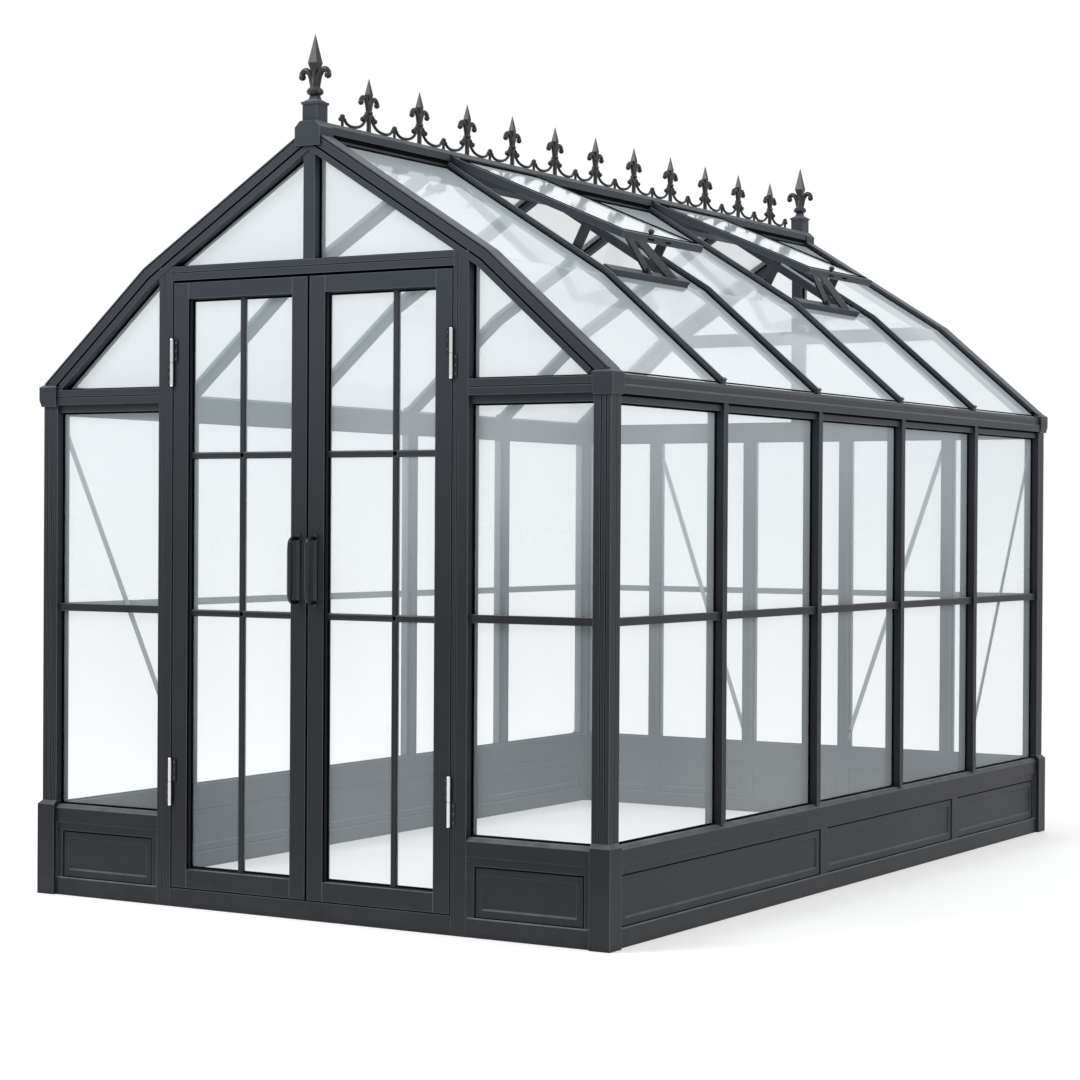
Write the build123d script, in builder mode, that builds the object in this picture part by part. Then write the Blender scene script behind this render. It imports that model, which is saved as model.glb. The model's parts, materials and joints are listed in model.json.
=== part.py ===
from build123d import *

import os
from math import atan2, cos, degrees, radians, sin, tan

# Glass greenhouse on a panelled metal base, built up from separate members.
# Frame: origin at the middle of the footprint on the ground, +Z up, ridge along Y.
# The gable with the double door faces -Y.  All sizes are in millimetres.

# ---------------------------------------------------------------- driving sizes
width = 2240            # over the corner blocks, along X
length = 3640           # over the corner blocks, along Y
bays = 5                # equal bays along each side wall

corner_size = 72        # square of the base corner blocks and of the post caps
corner_proud = 12       # how far blocks and caps stand out past the posts
block_height = 316
post_size = 60          # square corner post, also the depth of every upright
post_top = 1650
groove = 4              # width and depth of the grooves along the posts
groove_places = (24, 42)        # from the inner faces of a post to the grooves of its gable face
cap_height = 66
cap_peak = 22           # rise of the pyramid on top of each cap
cap_flat = 12           # flat square left at its tip
cap_undercut = 5        # how far the foot of a cap is drawn in
cap_undercut_height = 24

base_height = 305
base_thickness = 50
base_chamfer = 12
skirting_top = 57
frieze_bottom = 246
panel_top = 219
panel_band = 28         # flat band around each sunk field
panel_step = 4          # depth of each step of the panelling
band_slope = 40         # sides of the shallow band, degrees off square
panel_slope = 30        # sides of the sunk panels
field_slope = 50        # sides of the fields inside them
divider_width = 50
side_dividers = (-300, 880)

side_post_width = 28
mullion_width = 44
mullion_outer = 700     # rear wall uprights, from the middle
mullion_inner = 230
glass_thickness = 4
glass_inset = 32        # from the outer face of the posts to the glass
mid_rail_bottom = 960
mid_rail_height = 25
mid_rail_depth = 22
top_rail_height = 26
top_rail_inset = 10
top_rail_back = 4       # from the inner face of the posts to the back of the rail

gutter_bottom = 1653
gutter_top = 1712
gutter_proud = 6
gutter_depth = 54
gutter_step = 5         # the upper fascia sits this far behind the lower one
gutter_seam = 2

door_opening = 1100
door_side_gap = 5
door_meeting_gap = 9
door_bottom = 65
door_top = 2045         # lower where a wide doorway comes under the rafters
door_thickness = 34
door_stile = 60
door_top_rail = 52
door_bottom_rail = 60
door_bead = 4           # glazing bead inside the stiles and rails
door_bead_front = 18    # from the front of a leaf to the bead
door_bead_back = 3      # from the back of a leaf to the bead
jamb_width = 57
door_head_height = 45
door_head_groove = 23   # from the bottom of the head to its groove
door_head_gap = 9       # above the leaves
door_sill_gap = 5       # below the leaves

eave_rail_bottom = 1630
eave_rail_shoulder = 1655
eave_rail_top = 1705
eave_rail_depth = 40
eave_rail_step = 12

eave_z = 1716           # roof line above the outer face of the side posts
kink_x = 671            # where the two pitches of the roof meet
kink_z = 2095
ridge_z = 2514          # roof lines meet here, under the ridge beam's top
gable_rafter_depth = 58
roof_bar_width = 24
roof_bar_depth = 44
roof_bar_setback = 4    # from the front of the gutter's top to the foot of a bar
roof_glass_depth = 14   # from the roof line down to the glass
ridge_joint = 0.5       # joint between the two rafters of a gable
ridge_width = 84
ridge_bottom = 2436
ridge_top = 2537
ridge_bevel = 14
king_post_width = 44

end_block_half = 49
end_block_bottom = 2458
end_block_proud = 12
end_block_shoulder = 20
pedestal_size = 57
pedestal_height = 54
pedestal_cap_size = 64
pedestal_lip = 8
pedestal_cap_height = 29        # lip and flared top together
pedestal_ledge = 3              # from the edge of the lip to the flared top
pedestal_slopes = (54, 12)      # lower and upper half of the flared top, off upright

crest_gaps = 12         # spaces between the two finials
crest_rod = 5           # radius of the curved bars
crest_ball = 9
crest_bud_height = 37   # middle of the top ball of a bud
crest_bud_stem = 5      # radius
crest_bud_leaf = (11, 28, 7)    # the two side balls of a bud: offset, height, radius
crest_joint = 0.5       # between a curved bar and the side ball that it runs up to
finial_blade = (72, 104, 196, 17, 34)   # foot, widest and tip heights, two widths
finial_curl_radius = 9.5
finial_curl_end = 11.5
crest_blade = (98, 129, 181, 11, 20)
crest_curl_radius = 7.5
crest_curl_end = 9.5
crest_berry = (34, 45)  # place of the ball beside a stem: along the ridge, height
blade_tip = 1           # square left at the tip of a blade

vent_bays = (1, 3)      # counted from the front, on the +X slope
vent_share = 0.8        # part of its bay that a vent takes; a fixed strip of glass fills the rest
vent_lift = 9           # degrees above the roof
sash_end_gap = 10       # the sash stops this far short of the opening's lower end
sash_overlap = 4        # how far the sash reaches over the roof bars
sash_frame = 18
sash_thickness = 25
sash_rebate = 2         # from the top of the frame down to the glass
sash_seat = 0.3
vent_sill_width = 34
vent_sill_rise = 10
vent_sill_depth = 30
vent_curb_width = 14    # curbs along both sides of the opening
arm_places = (((-240, -195), (-25, 20)), ((-180, -110), (120, 200)))
arm_thickness = 8       # the arms: their spans on the sash, then on the sill
arm_setback = 10        # from the lower edge of the sill to the arms
stay_place = 140        # from the lower edge of the sill to the side stays
stay_width = 36
stay_thickness = 8

brace_width = 18
brace_thickness = 5
brace_top = 1560
brace_bottom = 330

hinge_heights = (410, 1785)
hinge_axis_inset = 2.5  # from the leaf's edge towards the jamb
hinge_axis_proud = 8    # in front of the leaf
knuckle_radius = 6.5
knuckle_length = 74
knuckle_gap = 2
pin_radius = 3.5
pin_short = 4           # how far the pin stops inside the end of its knuckle
pin_clearance = 0.3
bore_overrun = 1        # how far the bore is cut past the ends of its knuckle
hinge_leaf_width = 20
hinge_leaf_thickness = 4

handle_radius = 6.5
handle_reach = 55       # from the leaf to the outside of the grip
handle_offset = 34      # from the middle of the doorway
handle_low = 1010
handle_high = 1213      # heights of the two feet
handle_bend = 20

shortest_edge = 1       # an outline leaves out a side that would be shorter than this

# ------------------------------------------------------------- planes and lines
half_x = width / 2
half_y = length / 2
face_x = half_x - corner_proud      # outer faces of posts and walls
face_y = half_y - corner_proud
inner_x = face_x - post_size
inner_y = face_y - post_size
glass_x = face_x - glass_inset      # outer faces of the wall glass
glass_y = face_y - glass_inset

jamb_inner = door_opening / 2
jamb_outer = jamb_inner + jamb_width
sill_top = door_bottom - door_sill_gap

bay = 2 * (inner_y + post_size / 2) / bays
post_lines = [bay * (i - (bays - 2) / 2) for i in range(bays - 1)]

lower_pitch = atan2(kink_z - eave_z, face_x - kink_x)
upper_pitch = atan2(ridge_z - kink_z, kink_x)
mitre_pitch = (lower_pitch + upper_pitch) / 2


def lower_z(x, depth=0.0):
    """Height of the lower pitch at x, a square distance depth under the roof line."""
    return eave_z + (face_x - x) * tan(lower_pitch) - depth / cos(lower_pitch)


def lower_x(z, depth=0.0):
    """The x at which the lower pitch, at that depth, has height z."""
    return face_x - (z - eave_z + depth / cos(lower_pitch)) / tan(lower_pitch)


def upper_z(x, depth=0.0):
    """Height of the upper pitch at x, a square distance depth under the roof line."""
    return ridge_z - x * tan(upper_pitch) - depth / cos(upper_pitch)


def upper_x(z, depth=0.0):
    """The x at which the upper pitch, at that depth, has height z."""
    return (ridge_z - z - depth / cos(upper_pitch)) / tan(upper_pitch)


def kink(depth=0.0):
    """The point where the two pitches meet at that depth, on the mitre line."""
    reach = depth / cos((lower_pitch - upper_pitch) / 2)
    return (kink_x - reach * sin(mitre_pitch), kink_z - reach * cos(mitre_pitch))


def roof_z(x, depth=0.0):
    """Height of the roof at x, a square distance depth under the roof line."""
    return upper_z(x, depth) if x < kink(depth)[0] else lower_z(x, depth)


def roof_x(z, depth=0.0):
    """The x at which the roof, at that depth, has height z."""
    return upper_x(z, depth) if z > kink(depth)[1] else lower_x(z, depth)


def up_slope(distance, depth):
    """A point on the upper pitch, a distance up the slope from the kink."""
    return (
        kink_x - distance * cos(upper_pitch) - depth * sin(upper_pitch),
        kink_z + distance * sin(upper_pitch) - depth * cos(upper_pitch),
    )


# --------------------------------------------------------------------- helpers
def block(x_span, y_span, z_span, mode=Mode.ADD):
    """A box between low and high values on each axis."""
    spans = (x_span, y_span, z_span)
    size = [abs(high - low) for low, high in spans]
    with Locations(tuple((low + high) / 2 for low, high in spans)):
        Box(*size, mode=mode)


def prism_y(outline, y_low, y_high, mode=Mode.ADD):
    """An outline in X and Z, filled from y_low to y_high."""
    with BuildSketch(Plane.XZ.offset(-y_high)) as section:
        with BuildLine():
            Polyline(*outline, close=True)
        make_face()
    extrude(section.sketch, amount=y_high - y_low, mode=mode)


def prism_x(outline, x_low, x_high, mode=Mode.ADD):
    """An outline in Y and Z, filled from x_low to x_high."""
    with BuildSketch(Plane.YZ.offset(x_low)) as section:
        with BuildLine():
            Polyline(*outline, close=True)
        make_face()
    extrude(section.sketch, amount=x_high - x_low, mode=mode)


def mirrored(side, outline):
    """The outline on the +X side as it stands, or mirrored to the -X side."""
    return [(side * x, z) for x, z in outline]


def under_roof(x_low, x_high, floor, ceiling=ridge_z):
    """The outline between two uprights and two heights, cut off under the gable rafters."""
    depth = gable_rafter_depth
    bend_x, bend_z = kink(depth)
    side_top = min(ceiling, roof_z(x_high, depth))
    if side_top > floor + shortest_edge:
        outline = [(x_low, floor), (x_high, floor), (x_high, side_top)]
    else:
        outline = [(x_low, floor), (roof_x(floor, depth), floor)]
    if x_low < bend_x < x_high and floor < bend_z < ceiling:
        outline.append((bend_x, bend_z))
    if side_top < ceiling < roof_z(x_low, depth):
        outline.append((roof_x(ceiling, depth), ceiling))
    outline.append((x_low, min(ceiling, roof_z(x_low, depth))))
    return outline


def spans_between(lines, half_width, low, high):
    """The clear spans from low to high between uprights centred on lines."""
    edges = [low]
    for line in lines:
        edges += [line - half_width, line + half_width]
    edges.append(high)
    return list(zip(edges[0::2], edges[1::2]))


side_bays = spans_between(post_lines, side_post_width / 2, -inner_y, inner_y)
roof_bays = spans_between(post_lines, roof_bar_width / 2, -inner_y, inner_y)
mullions = (-mullion_outer, -mullion_inner, mullion_inner, mullion_outer)
rear_bays = spans_between(mullions, mullion_width / 2, -inner_x, inner_x)
vent_spans = []
vent_strips = []
for low, high in (roof_bays[i] for i in vent_bays):
    vent_end = low + vent_share * (high - low)
    vent_spans.append((low, vent_end))
    vent_strips.append((vent_end, high))
sides = (-1, 1)

# the door head sits under the rafters, and the leaves under the door head
head_top = min(door_top + door_head_gap + door_head_height,
               roof_z(jamb_inner, gable_rafter_depth))
head_bottom = head_top - door_head_height
leaf_top = head_bottom - door_head_gap
os.makedirs("parts", exist_ok=True)


# ------------------------------------------------------------ the panelled base
def base_wall(run, dividers):
    """A base wall along X with its outer face on Y = 0, facing -Y."""
    end = run / 2
    lines = [-end, *dividers, end]
    with BuildPart() as wall:
        outline = [
            (0, 0), (0, base_height - base_chamfer), (base_chamfer, base_height),
            (base_thickness, base_height), (base_thickness, 0),
        ]
        prism_x(outline, -end, end)
        outside = Plane(origin=(0, 0, 0), x_dir=(1, 0, 0), z_dir=(0, -1, 0))
        inside = Plane(origin=(0, base_thickness, 0), x_dir=(-1, 0, 0), z_dir=(0, 1, 0))
        # a shallow band from the skirting to the frieze on the outer face
        with BuildSketch(outside) as band:
            with Locations((0, (skirting_top + frieze_bottom) / 2)):
                Rectangle(run - panel_step, frieze_bottom - skirting_top)
        extrude(band.sketch, amount=-panel_step, taper=band_slope, mode=Mode.SUBTRACT)
        for low, high in zip(lines, lines[1:]):
            centre = (low + high) / 2
            panel = high - low - divider_width
            tall = panel_top - skirting_top
            middle = (panel_top + skirting_top) / 2
            for face, sign, depth in ((outside, 1, panel_step), (inside, -1, 0)):
                sunk = face.offset(-depth)
                with BuildSketch(sunk) as recess:
                    with Locations((sign * centre, middle)):
                        Rectangle(panel, tall)
                extrude(recess.sketch, amount=-panel_step, taper=panel_slope, mode=Mode.SUBTRACT)
                with BuildSketch(sunk.offset(-panel_step)) as field:
                    with Locations((sign * centre, middle)):
                        Rectangle(panel - 2 * panel_band, tall - 2 * panel_band)
                extrude(field.sketch, amount=-panel_step, taper=field_slope, mode=Mode.SUBTRACT)
    return wall.part


with BuildPart() as base_corner_blocks:
    for sx in sides:
        for sy in sides:
            block((sx * (half_x - corner_size), sx * half_x),
                  (sy * (half_y - corner_size), sy * half_y), (0, block_height))
    upper_faces = base_corner_blocks.faces().filter_by(Axis.Z).group_by(Axis.Z)[-1]
    outer_edges = [
        edge for edge in upper_faces.edges()
        if abs(abs(edge.center().X) - half_x) < 1 or abs(abs(edge.center().Y) - half_y) < 1
    ]
    chamfer(outer_edges, length=corner_proud)
base_corner_blocks.part.label = "base_corner_blocks"
export_step(base_corner_blocks.part, "parts/base_corner_blocks.step")

front_run = inner_x - jamb_outer
front_centre = (inner_x + jamb_outer) / 2
front_wall = base_wall(front_run, ())
with BuildPart() as base_walls_front:
    with Locations((-front_centre, -face_y, 0), (front_centre, -face_y, 0)):
        add(front_wall)
base_walls_front.part.label = "base_walls_front"
export_step(base_walls_front.part, "parts/base_walls_front.step")

right_wall = base_wall(2 * inner_y, side_dividers)
left_wall = base_wall(2 * inner_y, [-y for y in reversed(side_dividers)])
with BuildPart() as base_walls_side:
    with Locations(Location((face_x, 0, 0), (0, 0, 90))):
        add(right_wall)
    with Locations(Location((-face_x, 0, 0), (0, 0, -90))):
        add(left_wall)
base_walls_side.part.label = "base_walls_side"
export_step(base_walls_side.part, "parts/base_walls_side.step")

rear_wall = base_wall(2 * inner_x, mullions)
with BuildPart() as base_wall_rear:
    with Locations(Location((0, face_y, 0), (0, 0, 180))):
        add(rear_wall)
base_wall_rear.part.label = "base_wall_rear"
export_step(base_wall_rear.part, "parts/base_wall_rear.step")

with BuildPart() as door_sill:
    block((-jamb_inner, jamb_inner), (-face_y, -face_y + base_thickness), (0, sill_top))
door_sill.part.label = "door_sill"
export_step(door_sill.part, "parts/door_sill.step")

# --------------------------------------------------------------- wall uprights
with BuildPart() as corner_posts:
    for sx in sides:
        for sy in sides:
            block((sx * inner_x, sx * face_x), (sy * inner_y, sy * face_y),
                  (block_height, post_top))
            for place in groove_places:
                line_x = inner_x + place
                block((sx * line_x, sx * (line_x + groove)), (sy * (face_y - groove), sy * face_y),
                      (block_height, post_top), mode=Mode.SUBTRACT)
            line_y = inner_y + groove_places[0]
            block((sx * (face_x - groove), sx * face_x), (sy * line_y, sy * (line_y + groove)),
                  (block_height, post_top), mode=Mode.SUBTRACT)
corner_posts.part.label = "corner_posts"
export_step(corner_posts.part, "parts/corner_posts.step")

with BuildPart() as corner_post_caps:
    for sx in sides:
        for sy in sides:
            centre = (sx * (half_x - corner_size / 2), sy * (half_y - corner_size / 2))
            cap_top = post_top + cap_height
            block((sx * inner_x, sx * half_x), (sy * inner_y, sy * half_y), (post_top, cap_top))
            lean = degrees(atan2((corner_size - cap_flat) / 2, cap_peak))
            with BuildSketch(Plane.XY.offset(cap_top)) as peak:
                with Locations(centre):
                    Rectangle(corner_size, corner_size)
            extrude(peak.sketch, amount=cap_peak, taper=lean)
            # the foot of the cap is drawn in towards the post on its two outer sides
            waist = post_top + cap_undercut_height
            cut_x = [(sx * half_x, waist), (sx * (half_x - cap_undercut), post_top),
                     (sx * half_x, post_top)]
            prism_y(cut_x, centre[1] - corner_size / 2, centre[1] + corner_size / 2,
                    mode=Mode.SUBTRACT)
            cut_y = [(sy * half_y, waist), (sy * (half_y - cap_undercut), post_top),
                     (sy * half_y, post_top)]
            prism_x(cut_y, centre[0] - corner_size / 2, centre[0] + corner_size / 2,
                    mode=Mode.SUBTRACT)
corner_post_caps.part.label = "corner_post_caps"
export_step(corner_post_caps.part, "parts/corner_post_caps.step")

with BuildPart() as side_posts:
    for sx in sides:
        for y in post_lines:
            block((sx * inner_x, sx * face_x), (y - side_post_width / 2, y + side_post_width / 2),
                  (base_height, gutter_bottom))
side_posts.part.label = "side_posts"
export_step(side_posts.part, "parts/side_posts.step")

with BuildPart() as rear_mullions:
    for x in mullions:
        block((x - mullion_width / 2, x + mullion_width / 2), (inner_y, face_y),
              (base_height, eave_rail_bottom))
rear_mullions.part.label = "rear_mullions"
export_step(rear_mullions.part, "parts/rear_mullions.step")

with BuildPart() as door_jambs:
    for sx in sides:
        prism_y(mirrored(sx, under_roof(jamb_inner, jamb_outer, 0)), -face_y, -inner_y)
door_jambs.part.label = "door_jambs"
export_step(door_jambs.part, "parts/door_jambs.step")

with BuildPart() as king_posts:
    half = king_post_width / 2
    for sx in sides:
        outline = mirrored(sx, under_roof(0, half, head_top))
        prism_y(outline, -face_y, -inner_y)
        prism_y(outline, inner_y, face_y)
    block((-half, half), (inner_y, face_y), (eave_rail_top, head_bottom))
king_posts.part.label = "king_posts"
export_step(king_posts.part, "parts/king_posts.step")

# ----------------------------------------------------------- rails of the walls
with BuildPart() as door_head:
    block((-jamb_inner, jamb_inner), (-face_y, -face_y + base_thickness),
          (head_bottom, head_top))
    groove_z = head_bottom + door_head_groove
    block((-jamb_inner, jamb_inner), (-face_y, -face_y + groove), (groove_z, groove_z + groove),
          mode=Mode.SUBTRACT)
door_head.part.label = "door_head"
export_step(door_head.part, "parts/door_head.step")


def eave_rail_outline(side):
    """Section of the rail across a gable wall at eaves height, in Y and Z."""
    outer = side * face_y
    back = side * (face_y - eave_rail_depth)
    step = side * (face_y - eave_rail_step)
    return [
        (outer, eave_rail_shoulder), (outer, eave_rail_top), (back, eave_rail_top),
        (back, eave_rail_bottom), (step, eave_rail_bottom), (step, eave_rail_shoulder),
    ]


with BuildPart() as front_eave_rails:
    for sx in sides:
        low, high = sorted((sx * jamb_outer, sx * inner_x))
        prism_x(eave_rail_outline(-1), low, high)
front_eave_rails.part.label = "front_eave_rails"
export_step(front_eave_rails.part, "parts/front_eave_rails.step")

with BuildPart() as rear_gable_rails:
    prism_x(eave_rail_outline(1), -inner_x, inner_x)
    for sx in sides:
        prism_y(mirrored(sx, under_roof(0, inner_x, head_bottom, head_top)), inner_y, face_y)
rear_gable_rails.part.label = "rear_gable_rails"
export_step(rear_gable_rails.part, "parts/rear_gable_rails.step")

with BuildPart() as side_top_rails:
    for sx in sides:
        for low, high in side_bays:
            block((sx * (face_x - top_rail_inset), sx * (inner_x + top_rail_back)), (low, high),
                  (gutter_bottom - top_rail_height, gutter_bottom))
side_top_rails.part.label = "side_top_rails"
export_step(side_top_rails.part, "parts/side_top_rails.step")

with BuildPart() as mid_rails:
    rail_z = (mid_rail_bottom, mid_rail_bottom + mid_rail_height)
    for sx in sides:
        for low, high in side_bays:
            block((sx * glass_x, sx * (glass_x + mid_rail_depth)), (low, high), rail_z)
        block((sx * jamb_outer, sx * inner_x), (-glass_y - mid_rail_depth, -glass_y), rail_z)
    for low, high in rear_bays:
        block((low, high), (glass_y, glass_y + mid_rail_depth), rail_z)
mid_rails.part.label = "mid_rails"
export_step(mid_rails.part, "parts/mid_rails.step")

with BuildPart() as eave_gutters:
    outer = face_x + gutter_proud
    ledge = (gutter_bottom + gutter_top) / 2 - gutter_step
    for sx in sides:
        outline = [
            (outer - gutter_depth, gutter_bottom), (outer, gutter_bottom),
            (outer, ledge), (outer - gutter_step, ledge + gutter_step),
            (outer - gutter_step, gutter_top - 2 * gutter_step),
            (outer - 2 * gutter_step, gutter_top), (outer - gutter_depth, gutter_top),
        ]
        prism_y(mirrored(sx, outline), -inner_y, inner_y)
        for y in post_lines:
            block((sx * (outer - gutter_step - gutter_seam), sx * (outer + gutter_seam)),
                  (y - gutter_seam / 2, y + gutter_seam / 2), (gutter_bottom, gutter_top),
                  mode=Mode.SUBTRACT)
eave_gutters.part.label = "eave_gutters"
export_step(eave_gutters.part, "parts/eave_gutters.step")

# -------------------------------------------------------------------- the roof
cap_shoulder = post_top + cap_height
cap_tip = cap_shoulder + cap_peak

# the foot of each gable rafter follows the slope of the cap that it lands on
with BuildPart() as gable_rafters_lower:
    outline = [
        kink(), (lower_x(cap_tip), cap_tip),
        (inner_x + (corner_size - cap_flat) / 2, cap_tip), (inner_x, cap_shoulder),
        (inner_x, eave_rail_top),
        (lower_x(eave_rail_top, gable_rafter_depth), eave_rail_top), kink(gable_rafter_depth),
    ]
    for sx in sides:
        prism_y(mirrored(sx, outline), -face_y, -inner_y)
        prism_y(mirrored(sx, outline), inner_y, face_y)
gable_rafters_lower.part.label = "gable_rafters_lower"
export_step(gable_rafters_lower.part, "parts/gable_rafters_lower.step")

with BuildPart() as gable_rafters_upper:
    joint = ridge_joint / 2
    outline = [
        kink(), (joint, upper_z(joint)), (joint, upper_z(joint, gable_rafter_depth)),
        kink(gable_rafter_depth),
    ]
    for sx in sides:
        prism_y(mirrored(sx, outline), -face_y, -inner_y)
        prism_y(mirrored(sx, outline), inner_y, face_y)
gable_rafters_upper.part.label = "gable_rafters_upper"
export_step(gable_rafters_upper.part, "parts/gable_rafters_upper.step")

with BuildPart() as roof_bars_lower:
    foot = face_x + gutter_proud - 2 * gutter_step - roof_bar_setback
    outline = [
        kink(), (foot, lower_z(foot)), (foot, gutter_top),
        (lower_x(gutter_top, roof_bar_depth), gutter_top), kink(roof_bar_depth),
    ]
    for sx in sides:
        for y in post_lines:
            prism_y(mirrored(sx, outline), y - roof_bar_width / 2, y + roof_bar_width / 2)
roof_bars_lower.part.label = "roof_bars_lower"
export_step(roof_bars_lower.part, "parts/roof_bars_lower.step")

with BuildPart() as roof_bars_upper:
    head = ridge_width / 2
    outline = [kink(), (head, upper_z(head)), (head, upper_z(head, roof_bar_depth)),
               kink(roof_bar_depth)]
    for sx in sides:
        for y in post_lines:
            prism_y(mirrored(sx, outline), y - roof_bar_width / 2, y + roof_bar_width / 2)
roof_bars_upper.part.label = "roof_bars_upper"
export_step(roof_bars_upper.part, "parts/roof_bars_upper.step")

with BuildPart() as ridge_beam:
    half = ridge_width / 2
    flat = half - ridge_bevel
    outline = [
        (-half, ridge_bottom), (half, ridge_bottom), (half, ridge_top - ridge_bevel),
        (flat, ridge_top), (-flat, ridge_top), (-half, ridge_top - ridge_bevel),
    ]
    prism_y(outline, -inner_y, inner_y)
ridge_beam.part.label = "ridge_beam"
export_step(ridge_beam.part, "parts/ridge_beam.step")

with BuildPart() as ridge_end_blocks:
    half = end_block_half
    shoulder = end_block_shoulder
    top = [(half, ridge_top - shoulder), (half - shoulder, ridge_top),
           (shoulder - half, ridge_top), (-half, ridge_top - shoulder)]
    plate = [(-half, end_block_bottom), (half, end_block_bottom), *top]
    saddle = [(-half, upper_z(half)), (0, ridge_z), (half, upper_z(half)), *top]
    pedestal_y = inner_y + post_size / 2
    for sy in sides:
        low, high = sorted((sy * face_y, sy * (face_y + end_block_proud)))
        prism_y(plate, low, high)
        low, high = sorted((sy * inner_y, sy * face_y))
        prism_y(saddle, low, high)
        with Locations((0, sy * pedestal_y, ridge_top)):
            Box(pedestal_size, pedestal_size, pedestal_height,
                align=(Align.CENTER, Align.CENTER, Align.MIN))
        with Locations((0, sy * pedestal_y, ridge_top + pedestal_height)):
            Box(pedestal_cap_size, pedestal_cap_size, pedestal_lip,
                align=(Align.CENTER, Align.CENTER, Align.MIN))
        flare = (pedestal_cap_height - pedestal_lip) / 2
        flare_side = pedestal_cap_size - 2 * pedestal_ledge
        flare_z = ridge_top + pedestal_height + pedestal_lip
        for slope in pedestal_slopes:
            with BuildSketch(Plane.XY.offset(flare_z)) as flared:
                with Locations((0, sy * pedestal_y)):
                    Rectangle(flare_side, flare_side)
            extrude(flared.sketch, amount=flare, taper=slope)
            flare_z += flare
            flare_side -= 2 * flare * tan(radians(slope))
ridge_end_blocks.part.label = "ridge_end_blocks"
export_step(ridge_end_blocks.part, "parts/ridge_end_blocks.step")

# ------------------------------------------------------- finials and cresting
finial_foot = ridge_top + pedestal_height + pedestal_cap_height


def tube(points, radius):
    """A round bar along a smooth curve through points."""
    with BuildPart() as bar:
        with BuildLine() as path:
            Spline(*points)
        with BuildSketch(Plane(origin=path.line @ 0, z_dir=path.line % 0)):
            Circle(radius)
        sweep()
    return bar.part


def turned(profile):
    """A round piece turned about the vertical axis from (radius, height) points."""
    with BuildPart() as body:
        with BuildSketch(Plane.XZ):
            with BuildLine():
                Polyline((0, profile[0][1]), *profile, (0, profile[-1][1]), close=True)
            make_face()
        revolve(axis=Axis.Z)
    return body.part


def spear_blade(low, wide, tip, foot_side, wide_side):
    """A four-sided blade, standing on its foot at low, widest at wide."""
    with BuildPart() as blade:
        with BuildSketch(Plane.XY.offset(wide)) as middle:
            Rectangle(wide_side, wide_side)
        lean = degrees(atan2((wide_side - blade_tip) / 2, tip - wide))
        extrude(middle.sketch, amount=tip - wide, taper=lean)
        lean = degrees(atan2((wide_side - foot_side) / 2, wide - low))
        extrude(middle.sketch, amount=-(wide - low), taper=lean)
    return blade.part


def on_plane(across, points):
    """(offset, height) points laid in the plane across X or along Y."""
    if across:
        return [(u, 0, z) for u, z in points]
    return [(0, u, z) for u, z in points]


# heights below are above the top of the pedestal
bun = [(14, 0), (22, 3), (27, 9), (27, 16), (22, 23), (17, 26), (15, 40), (12, 58), (9, 92)]
finial_curl = [(8, 28), (13, 50), (22, 73), (37, 83), (49, 75), (50, 63)]
with BuildPart() as finial:
    add(turned(bun))
    add(spear_blade(*finial_blade))
    for side in sides:
        curl = on_plane(True, [(side * u, z) for u, z in finial_curl])
        add(tube(curl, finial_curl_radius))
        with Locations(Location(curl[-1], (0, 90, 0))):
            Sphere(finial_curl_end)
with BuildPart() as finials:
    with Locations((0, -pedestal_y, finial_foot), (0, pedestal_y, finial_foot)):
        add(finial.part)
finials.part.label = "finials"
export_step(finials.part, "parts/finials.step")

# heights below are above the top of the ridge beam
crest_pitch = 2 * pedestal_y / crest_gaps
stem = [(8, 0), (7.5, 62), (11, 64), (13.5, 67), (13.5, 71), (11, 74), (9, 80), (10.5, 96),
        (7, 118)]
crest_curl = [(4, 72), (9, 92), (17, 109), (30, 117), (43, 110), (45, 99)]
crest_hook = [(6, 66), (19, 60), (29, 50)]
leaf_offset, leaf_height, leaf_radius = crest_bud_leaf
swag_reach = leaf_radius + crest_joint
swag_rise = radians(37)
swag_end = crest_pitch / 2 - leaf_offset - swag_reach * cos(swag_rise)
swag = [
    (5, 62), (14, 51), (26, 35), (50, 18.5), (76, 12.5), (swag_end - 29, 12),
    (swag_end - 12, 16), (swag_end, leaf_height - swag_reach * sin(swag_rise)),
]
with BuildPart() as crest_spear:
    add(turned(stem))
    add(spear_blade(*crest_blade))
    for side in sides:
        curl = on_plane(False, [(side * u, z) for u, z in crest_curl])
        add(tube(curl, crest_curl_radius))
        with Locations(Location(curl[-1], (0, 90, 0))):
            Sphere(crest_curl_end)
        add(tube(on_plane(False, [(side * u, z) for u, z in swag]), crest_rod))
        add(tube(on_plane(False, [(side * u, z) for u, z in crest_hook]), crest_rod))
        with Locations(Location((0, side * crest_berry[0], crest_berry[1]), (0, 90, 0))):
            Sphere(crest_ball)
with BuildPart() as ridge_crest_spears:
    places = [(0, crest_pitch * (i - crest_gaps / 2), ridge_top) for i in range(1, crest_gaps)]
    with Locations(places):
        add(crest_spear.part)
ridge_crest_spears.part.label = "ridge_crest_spears"
export_step(ridge_crest_spears.part, "parts/ridge_crest_spears.step")

with BuildPart() as crest_bud:
    Cylinder(crest_bud_stem, crest_bud_height, align=(Align.CENTER, Align.CENTER, Align.MIN))
    with Locations((0, 0, crest_bud_height)):
        Sphere(crest_ball)
    with Locations((0, -leaf_offset, leaf_height), (0, leaf_offset, leaf_height)):
        Sphere(leaf_radius)
with BuildPart() as ridge_crest_buds:
    places = [(0, crest_pitch * (i + 0.5 - crest_gaps / 2), ridge_top) for i in range(crest_gaps)]
    with Locations(places):
        add(crest_bud.part)
ridge_crest_buds.part.label = "ridge_crest_buds"
export_step(ridge_crest_buds.part, "parts/ridge_crest_buds.step")

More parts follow.
